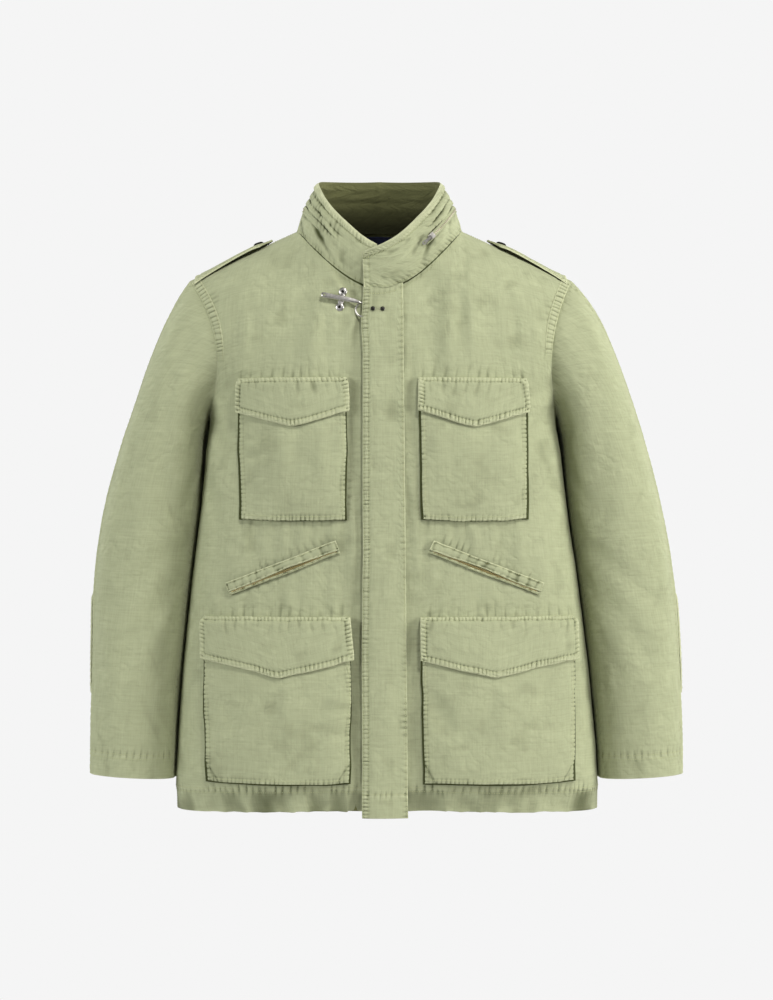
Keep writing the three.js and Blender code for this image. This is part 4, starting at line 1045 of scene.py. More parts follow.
for hand, word in ((1, "left"), (-1, "right")):
    x, z = panel_grid("front", hand, FRONT_EDGE_X, 42, 72, 2.8, 81)
    outer, inner, high, worn, normal, *edges = body_panel("front", "front", x, z, hand, 200 + 7 * hand)
    stitches = sew(f"front_{word}_stitches", panel_rows(outer, normal, *edges, z), thread)
    fell = armhole_band("front", hand, -172, 340 + 20 * hand)
    cloth_piece(f"front_{word}", outer, inner, high=high, worn=worn, by=3)

left_x, left_z = panel_grid("back", 1, 0, 37, 62, 3.5, 69)
right_x, right_z = panel_grid("back", -1, 0, 37, 62, 3.5, 69)
x = np.concatenate([right_x[:, :0:-1], left_x], axis=1)
z = np.concatenate([right_z[:, :0:-1], left_z], axis=1)
outer, inner, high, worn, normal, *edges = body_panel("back", "back", x, z, 0, 300)
stitches = sew("back_stitches", panel_rows(outer, normal, *edges, z), thread)
fells = armhole_band("back", 1, -210, 380) + armhole_band("back", -1, -210, 390)
cloth_piece("back", outer, inner, high=high, worn=worn, by=3)


# ---- sleeves


def sleeve_point(hand, ring, angle):
    """A point of a sleeve: ring 0 at the armhole, angle 0 at the outer point, below 0 in front."""
    ring, angle = np.broadcast_arrays(np.asarray(ring, float), np.asarray(angle, float))
    turned = (angle + 540) % 360 - 180
    table = [
        (k, left, right, out_z, body_half(in_z) + clear, in_z, depth, mid)
        for k, (left, right, out_z, in_z, clear, depth, mid) in enumerate(SLEEVE_RINGS)
    ]
    out_left, out_right, out_z, in_x, in_z, depth, mid = column(table, ring)
    c, s = np.cos(np.radians(turned)), np.sin(np.radians(turned))
    out_x = out_left if hand > 0 else out_right
    mid_x, mid_z = (out_x + in_x) / 2, (out_z + in_z) / 2
    rounded = xyz(mid_x + (out_x - mid_x) * c, mid + depth * s, mid_z + (out_z - mid_z) * c)
    starts = []
    for side in ("front", "back"):
        seam_x, seam_z = armhole(side, hand, 1 - np.abs(turned) / 180)
        y = facing(side) * body_depth(side, hand * seam_x, seam_z)
        starts.append(xyz(seam_x, y, seam_z))
    start = np.where((s < 0)[..., None], *starts)
    point = lerp(start, rounded, smooth(ring / 1.6)[..., None])
    run, round_ = ring * RING_SPAN, turned * ANGLE_SPAN
    folds = [
        (r1 * RING_SPAN, a1 * ANGLE_SPAN, r2 * RING_SPAN, a2 * ANGLE_SPAN, half, rise)
        for r1, a1, r2, a2, half, rise in SLEEVE_FOLDS
    ]
    creases = [
        (r1 * RING_SPAN, a1 * ANGLE_SPAN, r2 * RING_SPAN, a2 * ANGLE_SPAN, half, rise, bow)
        for r1, a1, r2, a2, half, rise, bow in SLEEVE_CREASES[hand]
    ]
    rise = 0.7 * folds_at(folds, run, round_) * smooth(ring) * smooth((11 - ring) / 1.2)
    seam = np.minimum(np.abs(turned - FRONT_SLEEVE_SEAM), np.abs(turned - BACK_SLEEVE_SEAM))
    seam = np.minimum(seam, np.abs(turned + 360 - FRONT_SLEEVE_SEAM))
    held = smooth(seam / 12) * smooth(ring / 0.7) * smooth((180 - np.abs(turned)) / 14)
    rise = rise + creases_at(creases, run, round_, np.where(turned < 0, 0.36, 0.7)) * held
    # The sleeve's inner back is tucked in behind the body's side.
    rise = rise + 11 * np.exp(-(((turned - 153) / 11) ** 2)) * smooth((ring - 0.6) / 0.9)
    point = point + xyz(c, s, 0) * rise[..., None]
    return xyz(hand * point[..., 0] + lean(point[..., 2]), point[..., 1], point[..., 2])


def on_sleeve(hand, ring, angle, out):
    along = sleeve_point(hand, ring + 0.05, angle) - sleeve_point(hand, ring - 0.05, angle)
    around = sleeve_point(hand, ring, angle + 2) - sleeve_point(hand, ring, angle - 2)
    normal = unit(np.cross(along, around)) * hand
    return sleeve_point(hand, ring, angle) + normal * np.asarray(out, float)[..., None]


FRONT_SLEEVE_SEAM = -165
BACK_SLEEVE_SEAM = -15
SLEEVE_LONG = 650  # about, along the outer side
CUFF_DEEP = 30


def sleeve_piece(name, hand, start, end, steps, seed):
    """One of a sleeve's two pieces, from one of its seams round to the other."""
    share = spread(SLEEVE_LONG, 2.8, first=False)
    ring = (len(SLEEVE_RINGS) - 1) * share**1.15
    angle = np.linspace(start, end, steps + 1)
    points = sleeve_point(hand, ring[:, None], angle[None])
    core_x = hand * (232 + 0.16 * np.clip(-153 - points[..., 2], 0, 560))
    outward = points - xyz(core_x, 0, points[..., 2])
    normal = grid_normals(points, outward)
    across, down = runs(points)
    other, cuff_off = across[:, -1:] - across, down[-1:] - down
    high = 0.5 * gathers(cuff_off - CUFF_DEEP, across, seed, 9, 7) + 0.25 * groove(cuff_off - CUFF_DEEP)
    below = smooth((CUFF_DEEP - cuff_off) / 12)
    high += below * 0.5 * uneven(across, 0.15 * cuff_off, 12, seed + 31)
    high += 0.35 * gathers(down - 4, across, seed + 3, 9, 9)
    worn = np.exp(-((cuff_off / 1.8) ** 2)) * 0.9
    worn = worn + 0.35 * np.exp(-(((cuff_off - CUFF_DEEP + 1) / 2.4) ** 2))
    for off, key in ((across, 5), (other, 7)):
        high += 0.35 * gathers(off - 4, down, seed + key, 9, 8)
        worn = worn + 0.4 * np.exp(-((off / 1.6) ** 2))
    high += 0.2 * uneven(across, down, 27, seed + 40) + 0.15 * uneven(across, down, 11, seed + 41)
    high = high * smooth(across / 1.5) * smooth(other / 1.5) * smooth(down / 2)
    outer = points + normal * (high - WALL * (1 - rolled(cuff_off)))[..., None]
    inner = points - normal * WALL
    rows = [level_line(outer, normal, cuff_off, CUFF_DEEP), level_line(outer, normal, cuff_off, CUFF_DEEP - 5)]
    if start == FRONT_SLEEVE_SEAM:
        rows += [level_line(outer, normal, across, d, axis=1) for d in (2.4, 8.2)]
        rows += [level_line(outer, normal, other, d, axis=1) for d in (2.4, 8.2)]
    stitches = sew(f"{name}_stitches", rows, thread)
    cloth_piece(name, outer, inner, high=high, worn=worn, by=3, grain_row=-1)


for hand, word in ((1, "left"), (-1, "right")):
    sleeve_piece(f"top_sleeve_{word}", hand, FRONT_SLEEVE_SEAM, BACK_SLEEVE_SEAM, 72, 400 + 50 * hand)
    sleeve_piece(
        f"under_sleeve_{word}", hand, BACK_SLEEVE_SEAM, FRONT_SLEEVE_SEAM + 360, 96, 500 + 50 * hand
    )


# ---- pieces that lie on others


def edge_roll(outer_off, thickness):
    return thickness * rolled(outer_off)


def bordered(across, down, band, seed, pitch=7.0, strength=0.5, sides="lrtb"):
    """Relief of a piece with a sewn border: gathers along its edges and a groove at its stitches."""
    offs = {
        "l": (across, down),
        "r": (across[:, -1:] - across, down),
        "b": (down, across),
        "t": (down[-1:] - down, across),
    }
    high, worn, nearest = 0, 0, np.full(across.shape, 1e3)
    for number, key in enumerate(sides):
        off, along = offs[key]
        high = high + strength * gathers(off - 0.6 * band, along, seed + 3 * number, pitch, 0.55 * band)
        nearest = np.minimum(nearest, off)
    high = high + 0.75 * groove(nearest - band, 1.3)
    high = high + 0.25 * smooth((band - nearest) / 1.2)
    worn = 0.9 * np.exp(-((nearest / 1.4) ** 2)) + 0.45 * smooth((band + 0.5 - nearest) / 1)
    inside = smooth((nearest - band) / 3)
    high = high + inside * (0.3 * uneven(across, down, 22, seed + 50))
    high = high + 0.18 * uneven(across, down, 9, seed + 51)
    return high, worn, nearest


def border_rows(outer, normal, insets, sides="lrtb"):
    """Rows of stitches along these edges of a grid, at these insets."""
    across, down = runs(outer)
    offs = {
        "l": (across, 1),
        "r": (across[:, -1:] - across, 1),
        "b": (down, 0),
        "t": (down[-1:] - down, 0),
    }
    rows = []
    for key in sides:
        off, axis = offs[key]
        other = offs["b" if axis else "l"][0], offs["t" if axis else "r"][0]
        for inset in insets:
            line, out = level_line(outer, normal, off, inset, axis)
            ends = [level_line(xyz(o, 0, 0), normal, off, inset, axis)[0][:, 0] for o in other]
            keep = (ends[0] > inset * 0.98) & (ends[1] > inset * 0.98)
            rows.append((line[keep], out[keep]))
    return rows


def fly_gap(share):
    return lerp(FLY["free_gap"], LIE_GAP, smooth((share - 0.15) / 0.85))


def make_fly():
    share = spread(54, 1.7)
    t = spread(670, 1.6)[:, None]
    right = lerp(FLY["low_right"], FLY["top_right"], t)
    across_x = lerp(FLY["left"], right, share[None])
    top = np.where(across_x > 0, neck_z(across_x), -NECK_DROP) - 0.4
    z = lerp(FLY["bottom"], top, t)
    x = across_x - lean(z)
    gap = np.broadcast_to(fly_gap(share)[None], z.shape)
    base = on_body("front", x, z, gap)
    normal = grid_normals(base, xyz(0, -1, 0))
    across, down = runs(base)
    other, top_off = across[:, -1:] - across, down[-1:] - down
    high = 0.75 * gathers(across - 5, down, 610, 4.8, 4) + 0.6 * (groove(across - 2) + groove(across - 8.2))
    high += 0.4 * gathers(other - 4, down, 611, 8, 5) + 0.35 * groove(other - 2.4)
    high += 0.5 * gathers(down - HEM_DEEP, across, 612, 8, 6) + 0.3 * groove(down - HEM_DEEP)
    high += 0.25 * gathers(top_off - 6, across, 613, 7, 5) + 0.3 * groove(top_off - 8)
    high += smooth((across - 9) / 5) * (0.5 * uneven(across, down, 34, 614) + 0.3 * uneven(across, 0.4 * down, 12, 615))
    for tack in (107, 204):  # bar tacks that hold the fly, from the hem up
        high += 0.5 * np.exp(-(((down - tack) / 1.3) ** 2)) * smooth((across - 9) / 1) * smooth((17 - across) / 1)
    high += smooth((20 - down) / 10) * 0.5 * uneven(across, 0.1 * down, 12, 616)
    nearest = np.minimum(np.minimum(across, other), down)
    worn = np.exp(-((nearest / 1.5) ** 2)) + 0.5 * smooth((9 - across) / 1)
    worn = worn + 0.4 * np.exp(-(((down - HEM_DEEP + 2) / 3) ** 2))
    outer = base + normal * (edge_roll(nearest, DOUBLE_WALL) + high * smooth(nearest / 1.2))[..., None]
    rows = [level_line(outer, normal, across, d, axis=1) for d in (2.0, 8.2)]
    rows.append(level_line(outer, normal, other, 2.4, axis=1))
    rows += [level_line(outer, normal, down, HEM_DEEP), level_line(outer, normal, top_off, 8)]
    for tack in (107, 204):
        line, out = level_line(outer, normal, down, tack)
        rows.append((line[6:12], out[6:12]))
    stitches = sew("fly_stitches", rows, thread)
    cloth_piece("fly", outer, base, high=high, worn=worn, by=3)


make_fly()

# Creases on the pockets' faces, as (x1, z1, x2, z2, half width, rise, bow).
POCKET_CREASES = {
    1: [
        (60, -600, 122, -672, 14, -2.0, 5),
        (206, -566, 186, -640, 12, -1.6, 4),
        (150, -590, 146, -690, 13, 1.3, 4),
        (90, -620, 84, -690, 10, 0.9, 3),
        (70, -262, 78, -350, 12, 1.0, 4),
        (130, -262, 124, -345, 13, -1.1, 4),
        (168, -280, 150, -330, 9, 0.9, 3),
    ],
    -1: [
        (-46, -612, -96, -620, 8, -1.2, 3),
        (-46, -640, -88, -652, 8, -1.1, 3),
        (-120, -586, -118, -690, 14, 1.2, 4),
        (-200, -600, -170, -664, 12, -1.2, 4),
        (-60, -586, -74, -680, 10, 1.1, 3),
        (-168, -276, -128, -256, 7, -1.2, 2),
        (-166, -296, -136, -284, 7, -0.9, 2),
        (-106, -262, -98, -348, 13, -1.6, 4),
        (-76, -270, -70, -350, 10, 1.0, 3),
    ],
}
# The side of a pocket from the panel out to its face: how far in, and what share of the height.
GUSSET = [
    (1.0, 0.0),
    (0.1, 0.1),
    (0.0, 0.24),
    (0.7, 0.36),
    (4.2, 0.42),
    (4.5, 0.5),
    (3.1, 0.6),
    (2.5, 0.74),
    (2.4, 0.88),
    (2.7, 0.965),
    (3.3, 0.995),
]


def pocket_bag(name, hand, pocket, seed):
    """A bellows pocket: its gusset folds in behind the face, which carries the stitches' gathers."""
    inner = pocket["inner"] + FLAP_BESIDE_BAG
    outer = pocket["outer"] - FLAP_BESIDE_BAG
    top = pocket["top"] - FLAP_ABOVE_BAG

    def places(length, pitch, past_start, past_end):
        share = [g[1] for g in GUSSET]
        foot = 0.3 if pocket is CHEST_POCKET else 0.6
        far = 0.8 if past_end else foot  # the foot shows less of its gusset
        count = 3 * round((length - 8) / pitch / 3) + 2
        middle = list(np.linspace(4, length - 4, count + 1))
        start = [far * g[0] - past_start * (g[1] < 0.4) for g in GUSSET]
        end = [length - far * g[0] + past_end * (g[1] < 0.4) for g in GUSSET]
        return np.array(start + middle + end[::-1]), np.array(share + [1] * len(middle) + share[::-1])

    u, rise_u = places(outer - inner, 1.8, 0.7, 2.3)
    v, rise_v = places(top - pocket["bottom"], 1.8, 0.5, 0)
    width, height = outer - inner, top - pocket["bottom"]
    u, v = np.broadcast_arrays(u[None], v[:, None])
    share = np.minimum(rise_u[None], rise_v[:, None])
    # The sides bulge a little and every edge wavers.
    sway = (2 * u / width - 1) * (1.6 * np.sin(math.pi * v / height) + 0.8 * uneven(v, u // (width / 2), 22, seed + 30))
    sag = (1 - v / height) ** 2 * (1.8 * np.sin(math.pi * u / width) + 0.8 * uneven(u, 0, 26, seed + 31))
    x, z = hand * (inner + u + sway), pocket["bottom"] + v - sag
    puff = 5 * np.sin(math.pi * u / width) * np.sin(math.pi * v / height)
    face = pocket["lift"] + puff * smooth((1 - v / height) * 3)
    face = face + creases_at(POCKET_CREASES[hand], x, z, 1.6)
    edges = [(u, v, 3), (width - u, v, 5), (v, u, 7)]
    nearest = np.minimum(np.minimum(u, width - u), v)
    high = sum(0.7 * gathers(off - 3, along, seed + key, 5.5, 4.2) for off, along, key in edges)
    high = high + 0.3 * groove(nearest - 2.2) + 0.3 * groove(nearest - 7.5)
    high = high + 0.35 * uneven(u, v, 24, seed + 20) + 0.15 * uneven(u, v, 9, seed + 21)
    # The gusset's crevices at the sides and the foot are darkened in colour only: painted shade.
    foot = 0.9 if pocket is CHEST_POCKET else 2.2
    deep = np.maximum(2.8 * smooth((0.8 - rise_u[None]) / 0.2), foot * smooth((0.8 - rise_v[:, None]) / 0.2))
    if pocket is not CHEST_POCKET:
        for side_off in (u, width - u):
            corner = side_off + 0.6 * v
            face = face - 2.4 * smooth((17 - corner) / 2.5) * smooth(nearest / 1.5)
            high = high - 0.8 * np.exp(-(((corner - 17) / 1.6) ** 2))
    worn = 0.9 * np.exp(-(((nearest - 0.3) / 1.2) ** 2)) + 0.2 * smooth((8 - nearest) / 1)
    out = LIE_GAP + (face + high * smooth(nearest / 1.5) - LIE_GAP) * share
    shell_out = on_body("front", x, z, out)
    within_x = hand * (inner + np.clip(u + sway, 6.4, width - 6.4))
    within_z = pocket["bottom"] + np.clip(v - sag, 5.6, height - 5.6)
    lining = on_body("front", within_x, within_z, np.maximum(LIE_GAP * 0.5, out - 1.2))
    normal = grid_normals(shell_out, xyz(0, -1, 0))
    rows = []
    across, down = runs(shell_out)
    flat_u, flat_v = np.where(rise_u == 1)[0], np.where(rise_v == 1)[0]
    face_part = np.ix_(flat_v, flat_u)
    rows = border_rows(shell_out[face_part], normal[face_part], (1.4,), "lrb")
    stitches = sew(f"{name}_stitches", rows, thread)
    cloth_piece(name, shell_out, lining, high=high - deep, worn=worn, by=3)


def pocket_flap(name, hand, pocket, seed):
    """A pointed flap with a sewn border."""
    width = pocket["outer"] - pocket["inner"]
    u = spread(width, 1.2)[None]
    v = spread(pocket["tip"], 1.3)[::-1][:, None]
    to_middle = u + pocket["tip_in"] * 4 * u * (1 - u)
    point = 1 - np.sqrt((2 * to_middle - 1) ** 2 + 0.0016)
    depth = lerp(pocket["side"], pocket["tip"], point) * (1 + 0.014 * uneven(width * u, 0, 24, seed + 95)) * v
    x = hand * lerp(pocket["inner"], pocket["outer"], u) * np.ones_like(v)
    z = pocket["top"] - depth
    bag_top = pocket["top"] - FLAP_ABOVE_BAG
    below = np.clip((bag_top - z) / (bag_top - pocket["bottom"]), 0, 1)
    puff = 5 * np.sin(math.pi * u) * np.sin(math.pi * below)
    top_out = 1.4 * LIE_GAP
    out = lerp(top_out, pocket["lift"] + 1.6 + puff, smooth(depth / 9))
    button = ((x - hand * (pocket["inner"] + width / 2)) ** 2 + (z - pocket["top"] + pocket["tip"] - 17) ** 2) / 70
    out = out + 0.9 * np.exp(-button)
    base = on_body("front", x, z, out)
    normal = grid_normals(base, xyz(0, -1, 0))
    across, down = runs(base)
    high, worn, nearest = bordered(across, down, 7.6, seed, 5.2, 0.9)
    top_off = down[-1:] - down
    high += 0.4 * gathers(top_off - 14, across, seed + 70, 15, 10)
    outer = base + normal * (edge_roll(nearest, DOUBLE_WALL) + high * smooth(nearest / 1.2))[..., None]
    rows = border_rows(outer, normal, (7.6,)) + border_rows(outer, normal, (1.6,), "t")
    stitches = sew(f"{name}_stitches", rows, thread)
    cloth_piece(name, outer, base, high=high, worn=worn, by=3)


for hand, word in ((1, "left"), (-1, "right")):
    lower = LOWER_POCKET if hand > 0 else RIGHT_LOWER_POCKET
    pocket_bag(f"chest_pocket_{word}", hand, CHEST_POCKET, 700 + 20 * hand)
    pocket_flap(f"chest_flap_{word}", hand, CHEST_POCKET, 740 + 20 * hand)
    pocket_bag(f"lower_pocket_{word}", hand, lower, 780 + 20 * hand)
    pocket_flap(f"lower_flap_{word}", hand, lower, 820 + 20 * hand)


def slant_place(hand, along, off):
    """Where a place along a slanted pocket's middle line and off it lies on the front."""
    p = SLANT_POCKET
    dx, dz = p["outer_x"] - p["inner_x"], p["outer_z"] - p["inner_z"]
    length = math.hypot(dx, dz)
    dx, dz = dx / length, dz / length
    return hand * (p["inner_x"] + dx * along - dz * off), p["inner_z"] + dz * along + dx * off


SLANT_LONG = math.hypot(
    SLANT_POCKET["outer_x"] - SLANT_POCKET["inner_x"], SLANT_POCKET["outer_z"] - SLANT_POCKET["inner_z"]
)


def slant_band(name, hand, low, high_off, out, thickness, seed, inset):
    """A sewn band of a slanted pocket, between two distances off its middle line."""
    along = SLANT_LONG * spread(SLANT_LONG, 1.7, by=1)[None]
    off = lerp(low, high_off, spread(abs(high_off - low), 1.3, by=1))[:, None]
    # The mouth gapes over part of its length, and its edges waver.
    gape = 2.4 * np.exp(-(((along / SLANT_LONG - 0.45) / 0.2) ** 2)) + 0.35 * uneven(along, 0, 14, seed)
    gape = gape * smooth(along / 8) * smooth((SLANT_LONG - along) / 8)
    near_mouth = 1 - np.abs(off - SLANT_MOUTH) / 12
    off = off + gape * near_mouth * (0.8 if low > SLANT_MOUTH else -0.5)
    x, z = slant_place(hand, along, off)
    base = on_body("front", x, z, out + 0.9 * near_mouth * (low > SLANT_MOUTH))
    normal = grid_normals(base, xyz(0, -1, 0))
    across, down = runs(base)
    high, worn, nearest = bordered(across, down, inset, seed, 7, 0.5)
    high += 0.8 * uneven(across, 0.3 * down, 9, seed + 90) * smooth(nearest / 2)
    high += 0.5 * gathers(down - 8, across, seed + 93, 12, 8)
    outer = base + normal * (edge_roll(nearest, thickness) + high * smooth(nearest / 1.5))[..., None]
    rows = border_rows(outer, normal, (inset,), "lrt" if low > SLANT_MOUTH else "lrb")
    stitches = sew(f"{name}_stitches", rows, thread)
    cloth_piece(name, outer, base, high=high, worn=worn)


def start_piece(name):
    """The primitive just added, named and with its place and size in its mesh."""
    piece = bpy.context.object
    piece.name = name
    bpy.ops.object.transform_apply(location=True, rotation=True, scale=True)
    return piece


def pick_faces(piece, chosen):
    """Edit mode with only the chosen faces selected."""
    bpy.ops.object.mode_set(mode="EDIT")
    bpy.ops.mesh.select_mode(type="FACE")
    bpy.ops.mesh.select_all(action="DESELECT")
    bpy.ops.object.mode_set(mode="OBJECT")
    for face in piece.data.polygons:
        face.select = chosen(face)
    bpy.ops.object.mode_set(mode="EDIT")


def draw_in(steps_):
    """Insets the selected faces and lifts them, step by step."""
    for inset, rise in steps_:
        bpy.ops.mesh.inset(thickness=inset)
        bpy.ops.transform.translate(value=(0, 0, rise))


def faces_up(face):
    return face.normal.z > 0.9


def model_tooth():
    """One tooth of a zip, a unit wide, long and high, as points and faces."""
    bpy.ops.object.select_all(action="DESELECT")
    bpy.ops.mesh.primitive_cube_add(size=1, location=(0, 0, 0.5))
    tooth = start_piece("tooth")
    pick_faces(tooth, faces_up)
    bpy.ops.transform.translate(value=(0, 0, -0.4))
    draw_in([(0.2, 0.4)])
    bpy.ops.object.mode_set(mode="OBJECT")
    points = np.array([v.co[:] for v in tooth.data.vertices])
    faces = [list(face.vertices) for face in tooth.data.polygons]
    bpy.ops.object.delete()
    return points, faces


TOOTH = model_tooth()


def zip_teeth(name, path, normal, material, pitch=1.3, size=(3.0, 0.8, 1.0)):
    """Interlocked teeth along a path, set to one side and the other by turns."""
    step = np.linalg.norm(np.diff(path, axis=0), axis=1)
    run = np.concatenate([[0], np.cumsum(step)])
    at = np.arange(0.5 * pitch, run[-1], pitch)
    place = np.stack([np.interp(at, run, path[:, k]) for k in range(3)], -1)
    up = unit(np.stack([np.interp(at, run, normal[:, k]) for k in range(3)], -1))
    along = unit(np.gradient(place, axis=0))
    across = unit(np.cross(along, up))
    shift = 0.55 * np.where(np.arange(len(at)) % 2, 1, -1)
    middle = place + across * shift[:, None]
    turned = np.stack([across, along, up], axis=1)
    points = middle[:, None] + (TOOTH[0] * size) @ turned
    faces = [[v + k * len(TOOTH[0]) for v in face] for k in range(len(at)) for face in TOOTH[1]]
    points = points.reshape(-1, 3)
    teeth = new_mesh(name, points, faces)
    return finish_piece(teeth, material)


for hand, word in ((1, "left"), (-1, "right")):
    half = SLANT_POCKET["width"] / 2
    slant_band(f"slant_welt_{word}", hand, SLANT_MOUTH + 0.4, half, 2.3, 1.5, 860 + 10 * hand, 2.2)
    slant_band(f"slant_lip_{word}", hand, -half, SLANT_MOUTH - 0.4, 2.3, 1.2, 880 + 10 * hand, 1.2)
    along = np.linspace(3, SLANT_LONG - 3, 60)[None]
    off = np.linspace(-half + 1, half - 3, 7)[:, None]
    x, z = slant_place(hand, along, off)
    tape, under = (on_body("front", x, z, np.full(x.shape, out)) for out in (LIE_GAP + 0.9, LIE_GAP))
    x, z = slant_place(hand, np.linspace(4, SLANT_LONG - 4, 90), np.full(90, SLANT_MOUTH))
    line = on_body("front", x, z, np.full(90, LIE_GAP + 1.3))
    out = unit(on_body("front", x, z, np.full(90, 6.0)) - line)
    teeth = zip_teeth(f"slant_zip_{word}_teeth", line, out, brass)
    piece = shell(f"slant_zip_{word}_tape", tape, under)
    finish_piece(piece, lining)
    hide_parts(f"slant_zip_{word}")


# ---- the collar


def neck_seam(angle):
    """Where the collar is sewn to the body, round the neck from the front at 0."""
    turn, hand = np.abs(angle), np.where(angle < 0, -1, 1)
    x = NECK_HALF * np.sin(np.radians(turn))
    front_x = np.maximum(FRONT_EDGE_X, x)
    front = body_point("front", hand * front_x, neck_z(front_x))
    back = body_point("back", hand * x, back_neck_z(x))
    return np.where((turn < 90)[..., None], front, back)


def collar_point(angle, level, lap):
    """A point of the collar, level 0 at the neck seam and 1 at its top. The lap lies over the right."""
    angle, level, lap = np.broadcast_arrays(*(np.asarray(v, float) for v in (angle, level, lap)))
    s, c = np.sin(np.radians(angle)), np.cos(np.radians(angle))
    lapped = body_point("front", NECK_HALF * s, np.full(s.shape, -NECK_DROP + 1.0))
    low = np.where(((lap > 0) & (angle < 0))[..., None], lapped, neck_seam(angle))
    low = low + xyz(0, 0, 0.5 * SEAM_GAP)
    top_z = column(COLLAR_TOP, np.where(lap > 0, angle, np.abs(angle)))[0]
    high = xyz(COLLAR_TOP_HALF * s, -np.where(c > 0, COLLAR_TOP_FRONT, COLLAR_TOP_BACK) * c, top_z)
    sideways = smooth((np.abs(angle) - 28) / 20)
    rise = 3 * np.sin(math.pi * level) + lap * COLLAR_LAP_RISE
    for at, height, half in COLLAR_RIDGES:
        rise = rise + sideways * height * np.exp(-(((level - at) / half) ** 2))
    return lerp(low, high, level[..., None]) + xyz(s, -c, 0) * rise[..., None]


def lap_at(angle):
    return smooth((40 - angle) / 22)


# Creases of the collar: angle and height above the seam at both ends, half width, rise, bow.
COLLAR_CREASES = [
    (-72, 36, -34, 18, 4, 1.0, 3),
    (-62, 28, -24, 8, 5, -1.2, 3),
    (-50, 42, -27, 27, 3.5, 0.9, 2),
    (-41, 17, -23, 4, 4, 0.9, 2),
    (-78, 20, -48, 6, 5, 1.1, 3),
    (-86, 30, -62, 20, 4, -0.9, 2),
    (-58, 50, -44, 34, 3, 0.8, 2),
    (38, 30, 20, 3, 4.5, 1.2, 3),
    (46, 27, 29, 2, 5, -1.3, 3),
    (28, 40, 17, 29, 4, 0.9, 2),
    (57, 21, 43, 2, 5, 1.1, 2),
    (16, 37, 4, 27, 4, 0.8, 2),
    (72, 30, 58, 8, 5, -0.9, 2),
    (84, 24, 74, 4, 5, 0.9, 2),
    (130, 60, 138, 24, 6, 1.0, 3),
    (160, 40, 150, 4, 6, -1.0, 3),
    (-120, 58, -134, 20, 6, 1.1, -3),
    (-156, 44, -168, 6, 6, -0.9, 3),
]


def zip_shown(angle):
    """How far the collar's zip stands out: it dies away in front on the wearer's right."""
    return np.where(angle > 0, smooth((angle - 34) / 4), smooth((-48 - angle) / 28))


DEGREE = 1.7  # millimetres round the collar in one degree


